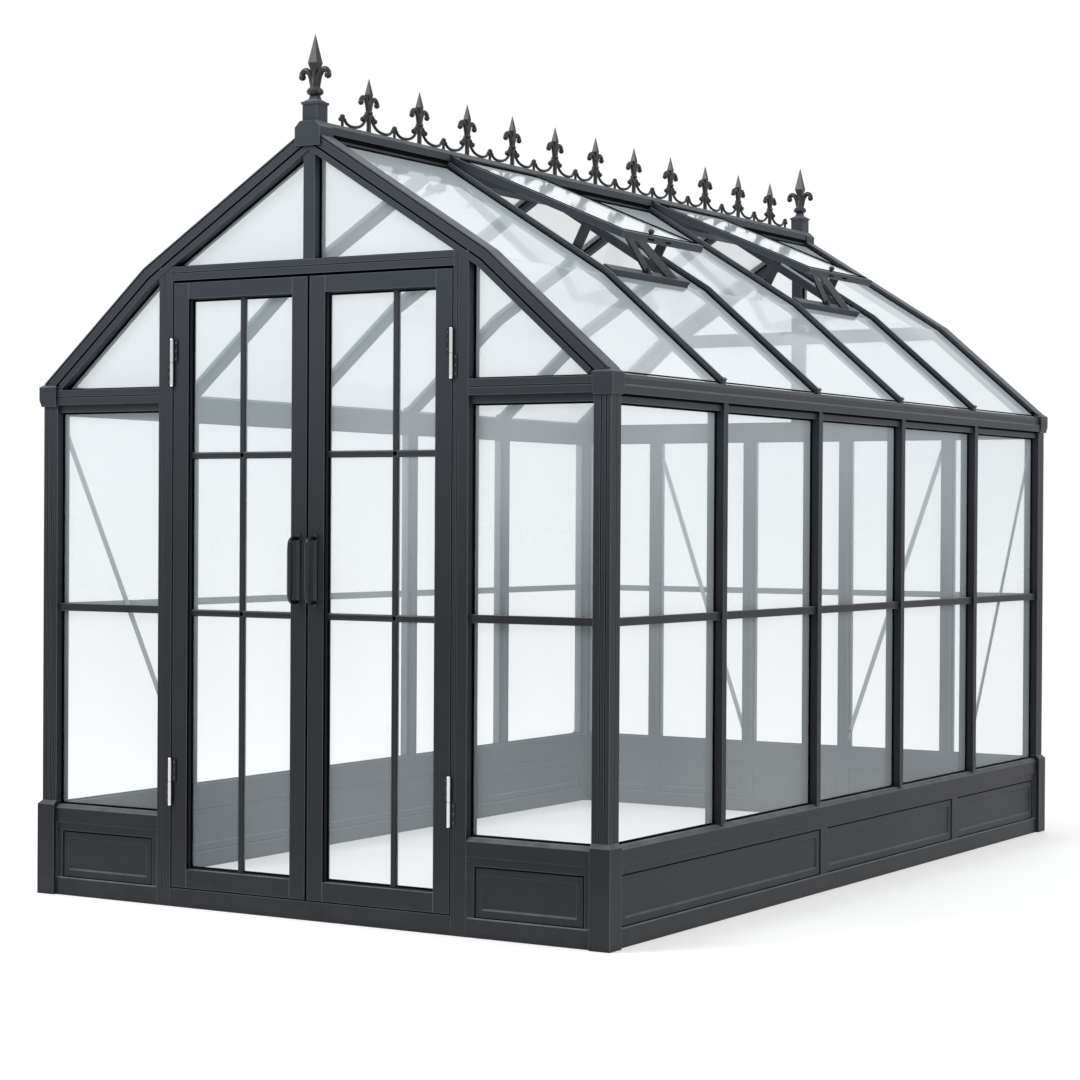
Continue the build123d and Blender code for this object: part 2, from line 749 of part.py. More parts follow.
# ------------------------------------------------------------------- the glass
glass_back_x = glass_x - glass_thickness
glass_back_y = glass_y - glass_thickness
side_glass_top = gutter_bottom - top_rail_height
roof_glass_back = roof_glass_depth + glass_thickness

with BuildPart() as side_wall_glass:
    for sx in sides:
        for low, high in side_bays:
            block((sx * glass_back_x, sx * glass_x), (low, high), (base_height, side_glass_top))
side_wall_glass.part.label = "side_wall_glass"
export_step(side_wall_glass.part, "parts/side_wall_glass.step")

with BuildPart() as end_wall_glass:
    for sx in sides:
        block((sx * jamb_outer, sx * inner_x), (-glass_y, -glass_back_y),
              (base_height, eave_rail_bottom))
    for low, high in rear_bays:
        block((low, high), (glass_back_y, glass_y), (base_height, eave_rail_bottom))
end_wall_glass.part.label = "end_wall_glass"
export_step(end_wall_glass.part, "parts/end_wall_glass.step")

with BuildPart() as gable_glass:
    half = king_post_width / 2
    front_panes = (under_roof(jamb_outer, inner_x, eave_rail_top),
                   under_roof(half, jamb_inner, head_top))
    rear_panes = (under_roof(half, inner_x, eave_rail_top, head_bottom),
                  under_roof(half, inner_x, head_top))
    for sx in sides:
        for outline in front_panes:
            prism_y(mirrored(sx, outline), -glass_y, -glass_back_y)
        for outline in rear_panes:
            prism_y(mirrored(sx, outline), glass_back_y, glass_y)
gable_glass.part.label = "gable_glass"
export_step(gable_glass.part, "parts/gable_glass.step")

with BuildPart() as lower_roof_glass:
    foot = lower_x(gutter_top, roof_glass_back)
    outline = [kink(roof_glass_depth), (foot, lower_z(foot, roof_glass_depth)),
               (foot, gutter_top), kink(roof_glass_back)]
    for sx in sides:
        for low, high in roof_bays:
            prism_y(mirrored(sx, outline), low, high)
lower_roof_glass.part.label = "lower_roof_glass"
export_step(lower_roof_glass.part, "parts/lower_roof_glass.step")

with BuildPart() as upper_roof_glass:
    head = ridge_width / 2
    outline = [kink(roof_glass_depth), (head, upper_z(head, roof_glass_depth)),
               (head, upper_z(head, roof_glass_back)), kink(roof_glass_back)]
    for sx in sides:
        for i, (low, high) in enumerate(roof_bays):
            if sx < 0 or i not in vent_bays:
                prism_y(mirrored(sx, outline), low, high)
    for low, high in vent_strips:
        prism_y(outline, low, high)
upper_roof_glass.part.label = "upper_roof_glass"
export_step(upper_roof_glass.part, "parts/upper_roof_glass.step")

# ------------------------------------------------------------- the roof vents
sash_pitch = upper_pitch - radians(vent_lift)
sash_head = (ridge_width / 2, upper_z(ridge_width / 2) + sash_seat)
sash_length = (kink_x - ridge_width / 2) / cos(upper_pitch) - sash_end_gap


def on_sash(along, out):
    """The X and Z of a point along the sash from its head, out from its underside."""
    return (
        sash_head[0] + along * cos(sash_pitch) + out * sin(sash_pitch),
        sash_head[1] - along * sin(sash_pitch) + out * cos(sash_pitch),
    )


def sash_outline(low, high, start, end):
    """A slab of the sash; a start of None runs it up to the ridge beam."""
    if start is None:
        head_x = sash_head[0]
        first = [
            (head_x, sash_head[1] + low / cos(sash_pitch)),
            (head_x, sash_head[1] + high / cos(sash_pitch)),
        ]
    else:
        first = [on_sash(start, low), on_sash(start, high)]
    return [*first, on_sash(end, high), on_sash(end, low)]


pane_out = sash_thickness - glass_thickness - sash_rebate
with BuildPart() as vent_sashes:
    for low, high in vent_spans:
        edges = (low - sash_overlap, high + sash_overlap)
        prism_y(sash_outline(0, sash_thickness, None, sash_length), *edges)
        prism_y(sash_outline(-sash_seat, sash_thickness + sash_seat, sash_frame,
                             sash_length - sash_frame),
                edges[0] + sash_frame, edges[1] - sash_frame, mode=Mode.SUBTRACT)
vent_sashes.part.label = "vent_sashes"
export_step(vent_sashes.part, "parts/vent_sashes.step")

with BuildPart() as vent_glass:
    inset = sash_frame - sash_overlap
    for low, high in vent_spans:
        prism_y(sash_outline(pane_out, pane_out + glass_thickness, sash_frame,
                             sash_length - sash_frame), low + inset, high - inset)
vent_glass.part.label = "vent_glass"
export_step(vent_glass.part, "parts/vent_glass.step")

with BuildPart() as vent_curbs:
    sill = [
        kink(vent_sill_depth), kink(-vent_sill_rise), up_slope(vent_sill_width, -vent_sill_rise),
        up_slope(vent_sill_width, vent_sill_depth),
    ]
    head = ridge_width / 2
    curb = [
        up_slope(vent_sill_width, 0), up_slope(vent_sill_width, vent_sill_depth),
        (head, upper_z(head, vent_sill_depth)), (head, upper_z(head)),
    ]
    for low, high in vent_spans:
        prism_y(sill, low, high)
        prism_y(curb, low, low + vent_curb_width)
        prism_y(curb, high - vent_curb_width, high)
vent_curbs.part.label = "vent_curbs"
export_step(vent_curbs.part, "parts/vent_curbs.step")


def opener_arm(middle, on_bar, on_sill):
    """A flat arm that leans along the opening, from the sill up to the sash."""
    foot = up_slope(arm_setback, -vent_sill_rise)
    foot_back = up_slope(arm_setback + arm_thickness, -vent_sill_rise)
    grip = on_sash(sash_length - sash_frame / 2 + arm_thickness / 2, 0)
    grip_back = on_sash(sash_length - sash_frame / 2 - arm_thickness / 2, 0)
    low_z = foot[1]
    high_z = grip_back[1]
    with BuildPart() as arm:
        ends = (*on_bar, *on_sill)
        prism_y([foot, foot_back, grip_back, grip], middle + min(ends), middle + max(ends))
        outline = [
            (middle + on_sill[0], low_z), (middle + on_sill[1], low_z),
            (middle + on_bar[1], high_z), (middle + on_bar[0], high_z),
        ]
        prism_x(outline, 0, half_x, mode=Mode.INTERSECT)
    return arm.part


with BuildPart() as vent_openers:
    stay_end = sash_length - stay_place + sash_end_gap
    stay = [
        up_slope(stay_place, 0), up_slope(stay_place + stay_width, 0),
        on_sash(stay_end - stay_width, 0), on_sash(stay_end, 0),
    ]
    for low, high in vent_spans:
        for on_bar, on_sill in arm_places:
            add(opener_arm((low + high) / 2, on_bar, on_sill))
        for inset in (sash_overlap, high - low - sash_overlap - stay_thickness):
            prism_y(stay, low + inset, low + inset + stay_thickness)
vent_openers.part.label = "vent_openers"
export_step(vent_openers.part, "parts/vent_openers.step")

# ------------------------------------------------------------- diagonal braces
def brace(start, end):
    """A flat bar between two uprights, cut square to them: (across, height) points."""
    run = abs(end[0] - start[0])
    fall = start[1] - end[1]
    cut = brace_width * (run ** 2 + fall ** 2) ** 0.5 / run
    return [start, (start[0], start[1] + cut), (end[0], end[1] + cut), end]


with BuildPart() as wall_braces:
    near = post_lines[0] - side_post_width / 2
    side_brace = brace((-inner_y, brace_top), (near, brace_bottom))
    prism_x(side_brace, -glass_back_x, -glass_back_x + brace_thickness)
    rear_side = [(-y, z) for y, z in side_brace]
    prism_x(rear_side, glass_back_x - brace_thickness, glass_back_x)
    half = mullion_width / 2
    rear_brace = brace((mullion_outer - half, brace_top), (mullion_inner + half, brace_bottom))
    for sx in sides:
        prism_y(mirrored(sx, rear_brace), glass_back_y - brace_thickness, glass_back_y)
wall_braces.part.label = "wall_braces"
export_step(wall_braces.part, "parts/wall_braces.step")

# ------------------------------------------------------------------- the doors
leaf_low = door_meeting_gap / 2
leaf_high = jamb_inner - door_side_gap
leaf_front = -face_y
leaf_back = leaf_front + door_thickness
bead_front = leaf_front + door_bead_front
bead_back = leaf_back - door_bead_back
pane_y = (bead_front + bead_back) / 2
rail_low = leaf_low + door_stile
rail_high = leaf_high - door_stile
pane_low = rail_low + door_bead
pane_high = rail_high - door_bead
bottom_edge = door_bottom + door_bottom_rail
top_edge = leaf_top - door_top_rail
pane_z = (bottom_edge + door_bead, top_edge - door_bead)

axis_x = leaf_high + hinge_axis_inset
axis_y = leaf_front - hinge_axis_proud


def door_pieces(side):
    """The pieces of one leaf: -1 is the left leaf, 1 the right one."""
    with BuildPart() as stiles:
        body = (leaf_front, leaf_back)
        bead = (bead_front, bead_back)
        block((side * leaf_low, side * rail_low), body, (door_bottom, leaf_top))
        block((side * rail_high, side * leaf_high), body, (door_bottom, leaf_top))
        block((side * rail_low, side * pane_low), bead, (bottom_edge, top_edge))
        block((side * pane_high, side * rail_high), bead, (bottom_edge, top_edge))
    with BuildPart() as rails:
        block((side * rail_low, side * rail_high), body, (door_bottom, bottom_edge))
        block((side * rail_low, side * rail_high), body, (top_edge, leaf_top))
        block((side * pane_low, side * pane_high), bead, (bottom_edge, pane_z[0]))
        block((side * pane_low, side * pane_high), bead, (pane_z[1], top_edge))
    with BuildPart() as pane:
        block((side * pane_low, side * pane_high),
              (pane_y - glass_thickness / 2, pane_y + glass_thickness / 2), pane_z)
    with BuildPart() as hinges:
        for height in hinge_heights:
            low = height + knuckle_gap / 2
            with Locations((side * axis_x, axis_y, low)):
                Cylinder(knuckle_radius, knuckle_length,
                         align=(Align.CENTER, Align.CENTER, Align.MIN))
            block((side * axis_x, side * (axis_x - hinge_leaf_width)),
                  (leaf_front - hinge_leaf_thickness, leaf_front), (low, low + knuckle_length))
            with Locations((side * axis_x, axis_y, low - bore_overrun)):
                Cylinder(pin_radius + pin_clearance, knuckle_length + 2 * bore_overrun,
                         align=(Align.CENTER, Align.CENTER, Align.MIN), mode=Mode.SUBTRACT)
    with BuildPart() as handle:
        grip_y = leaf_front - handle_reach + handle_radius
        with BuildLine() as path:
            x = side * handle_offset
            FilletPolyline((x, leaf_front, handle_low), (x, grip_y, handle_low),
                           (x, grip_y, handle_high), (x, leaf_front, handle_high),
                           radius=handle_bend)
        with BuildSketch(Plane(origin=(x, leaf_front, handle_low), z_dir=(0, -1, 0))):
            Circle(handle_radius)
        sweep()
    return {"stiles": stiles, "rails": rails, "glass": pane, "hinges": hinges,
            "handle": handle}


for hand, side in (("left", -1), ("right", 1)):
    for name, piece in door_pieces(side).items():
        piece.part.label = f"{hand}_door_{name}"
        export_step(piece.part, f"parts/{hand}_door_{name}.step")

with BuildPart() as hinge_brackets:
    for side in sides:
        for height in hinge_heights:
            high = height - knuckle_gap / 2
            with Locations((side * axis_x, axis_y, high - knuckle_length)):
                Cylinder(knuckle_radius, knuckle_length,
                         align=(Align.CENTER, Align.CENTER, Align.MIN))
            block((side * axis_x, side * (axis_x + hinge_leaf_width)),
                  (leaf_front - hinge_leaf_thickness, leaf_front),
                  (high - knuckle_length, high))
            with Locations((side * axis_x, axis_y, high)):
                Cylinder(pin_radius, knuckle_length + knuckle_gap - pin_short,
                         align=(Align.CENTER, Align.CENTER, Align.MIN))
hinge_brackets.part.label = "hinge_brackets"
export_step(hinge_brackets.part, "parts/hinge_brackets.step")
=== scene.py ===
# %% [markdown]
# # A glass greenhouse
#
# The object is a garden greenhouse: a powder coated aluminium frame on a panelled base, 4 mm panes,
# cast spikes along the ridge and a pair of glazed doors. The engineering model already holds every
# bar and pane at its true size, so this lesson loads it as a frame and spends its effort on what
# makes the building look real: finishes, small profiles, seals, glazing bars and screws.

import json
import math

import bmesh
import bpy
from mathutils import Matrix, Vector


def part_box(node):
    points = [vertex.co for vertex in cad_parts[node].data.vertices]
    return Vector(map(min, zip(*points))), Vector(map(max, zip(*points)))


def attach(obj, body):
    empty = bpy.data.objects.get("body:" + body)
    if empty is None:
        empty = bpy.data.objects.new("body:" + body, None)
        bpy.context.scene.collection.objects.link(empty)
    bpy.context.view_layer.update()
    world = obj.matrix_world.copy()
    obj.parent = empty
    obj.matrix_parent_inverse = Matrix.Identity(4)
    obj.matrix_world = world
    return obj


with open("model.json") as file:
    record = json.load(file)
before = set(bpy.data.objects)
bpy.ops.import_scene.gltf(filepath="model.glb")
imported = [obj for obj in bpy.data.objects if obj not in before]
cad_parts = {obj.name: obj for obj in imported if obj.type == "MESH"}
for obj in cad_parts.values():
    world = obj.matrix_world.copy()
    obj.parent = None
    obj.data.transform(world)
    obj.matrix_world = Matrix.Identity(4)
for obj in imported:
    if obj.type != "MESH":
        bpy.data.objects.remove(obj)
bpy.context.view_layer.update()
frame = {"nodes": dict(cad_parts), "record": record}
nodes = frame["nodes"]

# %% [markdown]
# ## Shared effects
#
# Powder coat, castings and steel share a few surface effects. Each effect is a node group with named
# inputs, built once, so every material can use it with its own values. The groups put out only masks
# and heights; the shader itself stays in the material. The first helpers make a group and join its
# sockets, so that each effect below reads as a short recipe.

# %% Helpers for node groups
def new_group(title, inputs, outputs):
    """A shader node group; inputs are (name, default) and outputs are names, all plain numbers."""
    group = bpy.data.node_groups.new(title, "ShaderNodeTree")
    for name, default in inputs:
        socket = group.interface.new_socket(name=name, in_out="INPUT", socket_type="NodeSocketFloat")
        socket.default_value = default
    for name in outputs:
        group.interface.new_socket(name=name, in_out="OUTPUT", socket_type="NodeSocketFloat")
    source = group.nodes.new("NodeGroupInput")
    target = group.nodes.new("NodeGroupOutput")
    return group, source, target


def link(tree, start, end):
    """Joins two sockets; a plain number in place of the first is written into the second."""
    if hasattr(start, "is_output"):
        tree.links.new(start, end)
    else:
        end.default_value = start


def add_math(tree, operation, first, second):
    """A Math node whose inputs may be sockets or plain numbers."""
    node = tree.nodes.new("ShaderNodeMath")
    node.operation = operation
    link(tree, first, node.inputs[0])
    link(tree, second, node.inputs[1])
    return node.outputs[0]


def add_ramp(tree, value, start, end, low=0.0, high=1.0, blend="LINEAR"):
    """Carries a value from the range start to end over to the range low to high."""
    node = tree.nodes.new("ShaderNodeMapRange")
    node.interpolation_type = blend
    given = {"Value": value, "From Min": start, "From Max": end, "To Min": low, "To Max": high}
    for name, number in given.items():
        link(tree, number, node.inputs[name])
    return node.outputs["Result"]


print("node helpers ready")

# %% [markdown]
# Noises and heights are read in metres on the object itself, never on an unwrapped map, so bars that
# meet share the same dust and painted sheen and the same grain.

# %% Places and noises
def place_on_object(tree):
    """The place of the shaded point, in metres."""
    return tree.nodes.new("ShaderNodeTexCoord").outputs["Object"]


def split(tree, vector):
    """The X, Y and Z of a vector."""
    parts = tree.nodes.new("ShaderNodeSeparateXYZ")
    link(tree, vector, parts.inputs[0])
    return parts.outputs


def add_noise(tree, scale, detail):
    """A noise between 0 and 1; the scale may be a socket or a plain number."""
    noise = tree.nodes.new("ShaderNodeTexNoise")
    noise.inputs["Detail"].default_value = detail
    link(tree, place_on_object(tree), noise.inputs["Vector"])
    link(tree, scale, noise.inputs["Scale"])
    return noise.outputs["Fac"]


print("place helpers ready")

# %% [markdown]
# Powder coat is sprayed dry and baked, which leaves a very fine orange-peel grain. A small Voronoi
# would also do; a high-frequency noise is cheaper and has no visible cells. The second, much larger
# noise lets the sheen drift a little from bar to bar, as it does on real batches.

# %% Grain of a sprayed finish
spray_scale = 900.0
cloud_scale = 1.6


def build_grain():
    group, source, target = new_group(
        "Sprayed grain",
        [("Grain scale", spray_scale), ("Cloud scale", cloud_scale)],
        ["Grain", "Cloud"],
    )
    for name, detail in (("Grain", 2.0), ("Cloud", 3.0)):
        noise = add_noise(group, source.outputs[f"{name} scale"], detail)
        link(group, noise, target.inputs[name])
    return group


grain_group = build_grain()
print("built", grain_group.name)

# %% [markdown]
# Faces that look up are painted lighter, partly for settled dust and partly as a painted sheen of the
# bright sky that they reflect, and splashes gather near the ground. Both are masks: the first comes
# from the normal, the second from the height above the ground. A noise breaks them up, since dust
# never lies evenly.

# %% Dust and painted sky sheen
sheen_and_dust_slope = 0.35
splash_strength = 0.08


def build_dust_and_sheen():
    group, source, target = new_group(
        "Dust and painted sky sheen", [("Amount", 0.3), ("Splash height", 0.25)], ["Dust"])
    geometry = group.nodes.new("ShaderNodeNewGeometry")
    facing_up = split(group, geometry.outputs["Normal"])["Z"]
    upward = add_ramp(group, facing_up, sheen_and_dust_slope, 1.0)
    height = split(group, place_on_object(group))["Z"]
    splash = add_ramp(group, height, 0.0, source.outputs["Splash height"],
                      low=splash_strength, high=0.0)
    both = add_math(group, "MAXIMUM", upward, splash)
    patchy = add_math(group, "MULTIPLY", both, add_noise(group, scale=14.0, detail=6.0))
    amount = add_math(group, "MULTIPLY", patchy, source.outputs["Amount"])
    link(group, amount, target.inputs["Dust"])
    return group


dust_and_sheen_group = build_dust_and_sheen()
print("built", dust_and_sheen_group.name)

# %% [markdown]
# Edges are painted lighter, a painted highlight where the light catches them. The Bevel node gives a
# softened normal, and where it differs from the true normal there is an edge; that difference is a
# mask that needs no extra geometry.

# %% Painted highlights on edges
edge_gain = 6.0


def build_edge_highlight():
    group, source, target = new_group(
        "Painted edge highlight", [("Radius", 0.003), ("Amount", 0.5)], ["Wear"])
    geometry = group.nodes.new("ShaderNodeNewGeometry")
    soft = group.nodes.new("ShaderNodeBevel")
    soft.samples = 4
    link(group, source.outputs["Radius"], soft.inputs["Radius"])
    dot = group.nodes.new("ShaderNodeVectorMath")
    dot.operation = "DOT_PRODUCT"
    link(group, geometry.outputs["True Normal"], dot.inputs[0])
    link(group, soft.outputs["Normal"], dot.inputs[1])
    away = add_math(group, "SUBTRACT", 1.0, dot.outputs["Value"])
    strong = add_math(group, "MULTIPLY", away, edge_gain)
    clamped = add_math(group, "MINIMUM", strong, 1.0)
    amount = add_math(group, "MULTIPLY", clamped, source.outputs["Amount"])
    link(group, amount, target.inputs["Wear"])
    return group


edge_highlight_group = build_edge_highlight()
print("built", edge_highlight_group.name)

# %% [markdown]
# Less light reaches the corners between two profiles, and the paint there is darkened as a painted
# shade.
# Ambient Occlusion finds those corners within a set distance, and the mask darkens the paint there.

# %% Painted shade in corners
def build_corner_shade():
    group, source, target = new_group(
        "Painted corner shade", [("Reach", 0.02), ("Amount", 0.7)], ["Grime"])
    corners = group.nodes.new("ShaderNodeAmbientOcclusion")
    corners.samples = 10
    link(group, source.outputs["Reach"], corners.inputs["Distance"])
    hidden = add_math(group, "SUBTRACT", 1.0, corners.outputs["AO"])
    amount = add_math(group, "MULTIPLY", hidden, source.outputs["Amount"])
    link(group, amount, target.inputs["Grime"])
    return group


corner_shade_group = build_corner_shade()
print("built", corner_shade_group.name)

# %% [markdown]
# More light reaches the upper members, so the dark coat there is painted a paler blue grey: a painted
# light. The mask simply grows with height. It could be painted by hand on each piece, but a mask from
# the height keeps neighbouring members alike.

# %% Painted light with height
def build_height_light():
    group, source, target = new_group(
        "Painted light with height", [("Shaded height", 0.9), ("Lit height", 2.35)], ["Fade"])
    height = split(group, place_on_object(group))["Z"]
    rise = add_ramp(group, height, source.outputs["Shaded height"],
                    source.outputs["Lit height"], blend="SMOOTHSTEP")
    link(group, rise, target.inputs["Fade"])
    return group


height_light_group = build_height_light()
print("built", height_light_group.name)

# %% [markdown]
# ## Finishes
#
# Four more tools build the materials: one places an effect with its own values, one mixes two colours
# by a mask, one darkens or lightens a colour, and one starts a material with plain values.

# %% Tools for materials
def place_group(tree, group, values):
    """Places an effect in a material, with these values on its inputs."""
    node = tree.nodes.new("ShaderNodeGroup")
    node.node_tree = group
    for name, value in values.items():
        node.inputs[name].default_value = value
    return node


def mix_colour(tree, mask, first, second):
    """Mixes two colours by a mask; a colour may be a socket or three numbers."""
    mix = tree.nodes.new("ShaderNodeMix")
    mix.data_type = "RGBA"
    link(tree, mask, mix.inputs["Factor"])
    for socket, colour in ((mix.inputs["A"], first), (mix.inputs["B"], second)):
        link(tree, colour if hasattr(colour, "is_output") else (*colour, 1.0), socket)
    return mix.outputs["Result"]


def shade(colour, strength):
    """The same colour, darker below a strength of 1 and lighter above it."""
    return tuple(min(1.0, channel * strength) for channel in colour)


def new_material(title, **values):
    """A material whose shader has these plain values."""
    material = bpy.data.materials.new(title)
    material.use_nodes = True
    shader = material.node_tree.nodes["Principled BSDF"]
    for name, value in values.items():
        shader.inputs[name.replace("_", " ")].default_value = value
    return material, material.node_tree, shader


print("material tools ready")

# %% [markdown]
# Every painted or bare metal piece uses one recipe with different values: a base colour, a paler
# colour painted in towards the top as painted light, a lighter tone for painted highlights on the
# edges, a tone for dust and painted sky sheen, a darker share for painted shade in corners, and a
# roughness that the grain and the dust raise a little. The recipe takes the specular level as a plain
# number, since a flat paint film has the same one all over.

# %% The metal recipe
batch_dark, batch_light = 0.86, 1.18
# tone of the dust and of the painted sky sheen on faces that look up
dust_and_sheen_tone = (0.42, 0.45, 0.49)
# the painted shade in corners keeps this share of the paint's own colour
corner_shade_darkness = 0.1
sheen_drift = 0.12
dust_roughness = 0.5
grain_depth = 0.0004


def metal(title, colour, highlight_colour, roughness, top_lit=None, metallic=0.0, specular=0.15, coat=0.0,
          grain=spray_scale, bump=0.25, dust_and_sheen=0.3, edge_highlight=0.5, corner_shade=0.8):
    """A sprayed, cast or bare metal with grain, dust with painted sky sheen, painted shade in corners,
    painted edge highlights and painted light towards the top.
    """
    material, tree, shader = new_material(
        title, Metallic=metallic, Specular_IOR_Level=specular, Coat_Weight=coat,
        Coat_Roughness=0.15)
    sprayed = place_group(tree, grain_group, {"Grain scale": grain})
    dust_and_sheen_mask = place_group(tree, dust_and_sheen_group, {"Amount": dust_and_sheen})
    highlit = place_group(tree, edge_highlight_group, {"Amount": edge_highlight})
    corner_shading = place_group(tree, corner_shade_group, {"Amount": corner_shade})
    height_light = place_group(tree, height_light_group, {})
    tones = [mix_colour(tree, sprayed.outputs["Cloud"], shade(tone, batch_dark),
                        shade(tone, batch_light)) for tone in (colour, top_lit or colour)]
    # painted light: the coat turns paler towards the top
    lit_by_height = mix_colour(tree, height_light.outputs["Fade"], *tones)
    # painted highlight: the edges take a lighter tone
    with_highlights = mix_colour(tree, highlit.outputs["Wear"], lit_by_height, highlight_colour)
    # dust, and a painted sheen of the sky on faces that look up
    with_dust_and_sheen = mix_colour(tree, dust_and_sheen_mask.outputs["Dust"], with_highlights, dust_and_sheen_tone)
    # painted shade: the corners are darkened towards near black
    finished = mix_colour(tree, corner_shading.outputs["Grime"], with_dust_and_sheen, shade(colour, corner_shade_darkness))
    link(tree, finished, shader.inputs["Base Color"])
    drift = add_math(tree, "MULTIPLY", sprayed.outputs["Cloud"], sheen_drift)
    with_drift = add_math(tree, "ADD", drift, roughness - sheen_drift / 2)
    with_dust = add_math(tree, "MULTIPLY", dust_and_sheen_mask.outputs["Dust"], dust_roughness)
    link(tree, add_math(tree, "ADD", with_drift, with_dust), shader.inputs["Roughness"])
    relief = tree.nodes.new("ShaderNodeBump")
    relief.inputs["Strength"].default_value = bump
    relief.inputs["Distance"].default_value = grain_depth
    link(tree, sprayed.outputs["Grain"], relief.inputs["Height"])
    link(tree, relief.outputs["Normal"], shader.inputs["Normal"])
    return material


print("metal recipe ready")

# %% [markdown]
# Four paints and a rubber follow from the recipe. The frame's coat is a very dark blue grey, the
# castings are darker and coarser, the braces light grey, the handles gloss black, and the seals so
# dull that they read as lines of shade. The same black also serves as painted shade, in strips laid
# where only shade falls.

# %% Paints and rubber
# after each base colour comes the lighter tone of its painted edge highlights, and the frame also
# takes a paler tone as painted light at the top
charcoal = metal("Charcoal powder coat", (0.0175, 0.0190, 0.0222), (0.170, 0.186, 0.205), 0.43,
                 top_lit=(0.038, 0.045, 0.056), dust_and_sheen=0.65, edge_highlight=0.8)
cast_paint = metal("Cast iron paint", (0.0120, 0.0135, 0.0165), (0.10, 0.107, 0.118), 0.32,
                   grain=380.0, bump=0.3, specular=0.35)
brace_grey = metal("Brace grey", (0.36, 0.38, 0.40), (0.5, 0.5, 0.5), 0.4, dust_and_sheen=0.1)
handle_black = metal("Gloss black", (0.0030, 0.0042, 0.0062), (0.02, 0.02, 0.02), 0.2,
                     specular=0.3, coat=0.25, dust_and_sheen=0.0, edge_highlight=0.0, corner_shade=0.1)
# black rubber for the seals, also used for strips of painted shade
rubber_and_shade_black = metal("Rubber and painted shade", (0.0018, 0.0018, 0.0020), (0.004, 0.004, 0.005), 0.8,
                   specular=0.03, dust_and_sheen=0.02, edge_highlight=0.05)
print("finishes:", [m.name for m in bpy.data.materials])

# %% [markdown]
# Only the round barrel of each hinge is bare stainless steel; the narrow plates are painted with the
# frame. The barrel stands further forward than the plates, so the distance in front of the gable is
# enough to tell them apart, and one material serves the whole hinge.

# %% Hinge steel
gable_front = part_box("door_jambs")[0][1]
paint_depth = 0.0045
plate_paint = (0.030, 0.032, 0.036)


def build_hinge_steel(front_of_plates):
    material = metal("Brushed stainless", (0.62, 0.62, 0.63), (0.75, 0.75, 0.75), 0.3,
                     metallic=1.0, dust_and_sheen=0.0)
    tree = material.node_tree
    base_colour = tree.nodes["Principled BSDF"].inputs["Base Color"]
    bare = base_colour.links[0].from_socket
    depth = split(tree, place_on_object(tree))["Y"]
    painted = add_math(tree, "GREATER_THAN", depth, front_of_plates)
    link(tree, mix_colour(tree, painted, bare, plate_paint), base_colour)
    return material


hinge_steel = build_hinge_steel(gable_front - paint_depth)
print("hinge plates end at y =", round(gable_front - paint_depth, 4))

# %% [markdown]
# Horticultural glass is thin, so it hardly bends what is seen through it. A true refracting slab
# would darken the room, because refracted light is hard to trace back to the lamps. Alpha lets most
# light go straight through and leaves the rest for the reflection, the faint blue tint and the bloom
# of dust that makes far bars look paler. The bloom is stronger near the eaves and on the roof, where
# nobody wipes the panes. Each pane is a closed slab, so the inner side of its skin (Backfacing) is
# left fully clear; otherwise every pane would count twice.

# %% Glass
wiped_height = 0.7
roof_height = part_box("eave_gutters")[1][2]
bloom_least = 0.08
bloom_drift = 0.16
bloom_unwiped = 0.14
smear_least = 0.02
smear_drift = 0.08
pane_tints = ((0.74, 0.87, 0.94), (0.89, 0.96, 0.99))


def build_glass():
    material, tree, shader = new_material("Clear glass", Metallic=0.0, Transmission_Weight=0.0,
                                          IOR=1.5)
    haze = add_noise(tree, scale=1.3, detail=1.0)
    link(tree, mix_colour(tree, haze, *pane_tints), shader.inputs["Base Color"])
    height = split(tree, place_on_object(tree))["Z"]
    unwiped = add_ramp(tree, height, wiped_height, roof_height, high=bloom_unwiped,
                       blend="SMOOTHSTEP")
    bloom = add_math(tree, "ADD", add_math(tree, "MULTIPLY", haze, bloom_drift), bloom_least)
    film = add_math(tree, "ADD", bloom, unwiped)
    fresnel = tree.nodes.new("ShaderNodeFresnel")
    fresnel.inputs["IOR"].default_value = 1.45
    cover = add_math(tree, "MINIMUM", add_math(tree, "ADD", film, fresnel.outputs["Fac"]), 1.0)
    geometry = tree.nodes.new("ShaderNodeNewGeometry")
    outer = add_math(tree, "SUBTRACT", 1.0, geometry.outputs["Backfacing"])
    link(tree, add_math(tree, "MULTIPLY", cover, outer), shader.inputs["Alpha"])
    smear = add_math(tree, "MULTIPLY", haze, smear_drift)
    link(tree, add_math(tree, "ADD", smear, smear_least), shader.inputs["Roughness"])
    return material


clear_glass = build_glass()
print("built", clear_glass.name)

# %% [markdown]
# ## Dressing the frame
#
# The record names a material slot for every node, so one table dresses the whole frame. A small bevel
# on each solid catches a line of light along its edges, as real extrusions do. Panes stay sharp, and
# the castings and handles are round already.

# %% Materials and bevels on the frame
finish_of_slot = {
    "charcoal_frame": charcoal,
    "cast_trim": cast_paint,
    "clear_glass": clear_glass,
    "grey_brace": brace_grey,
    "hinge_steel": hinge_steel,
    "handle_black": handle_black,
}
round_nodes = {"finials", "ridge_crest_spears", "ridge_crest_buds", "left_door_handle",
               "right_door_handle"}
frame_bevel = 0.0015


def add_bevel(piece, width):
    """Rounds the sharp edges of a piece as it is shown, and leaves its mesh as it is."""
    bevel = piece.modifiers.new("Soft edges", "BEVEL")
    bevel.width = width
    bevel.segments = 2
    bevel.limit_method = "ANGLE"
    bevel.angle_limit = math.radians(35)


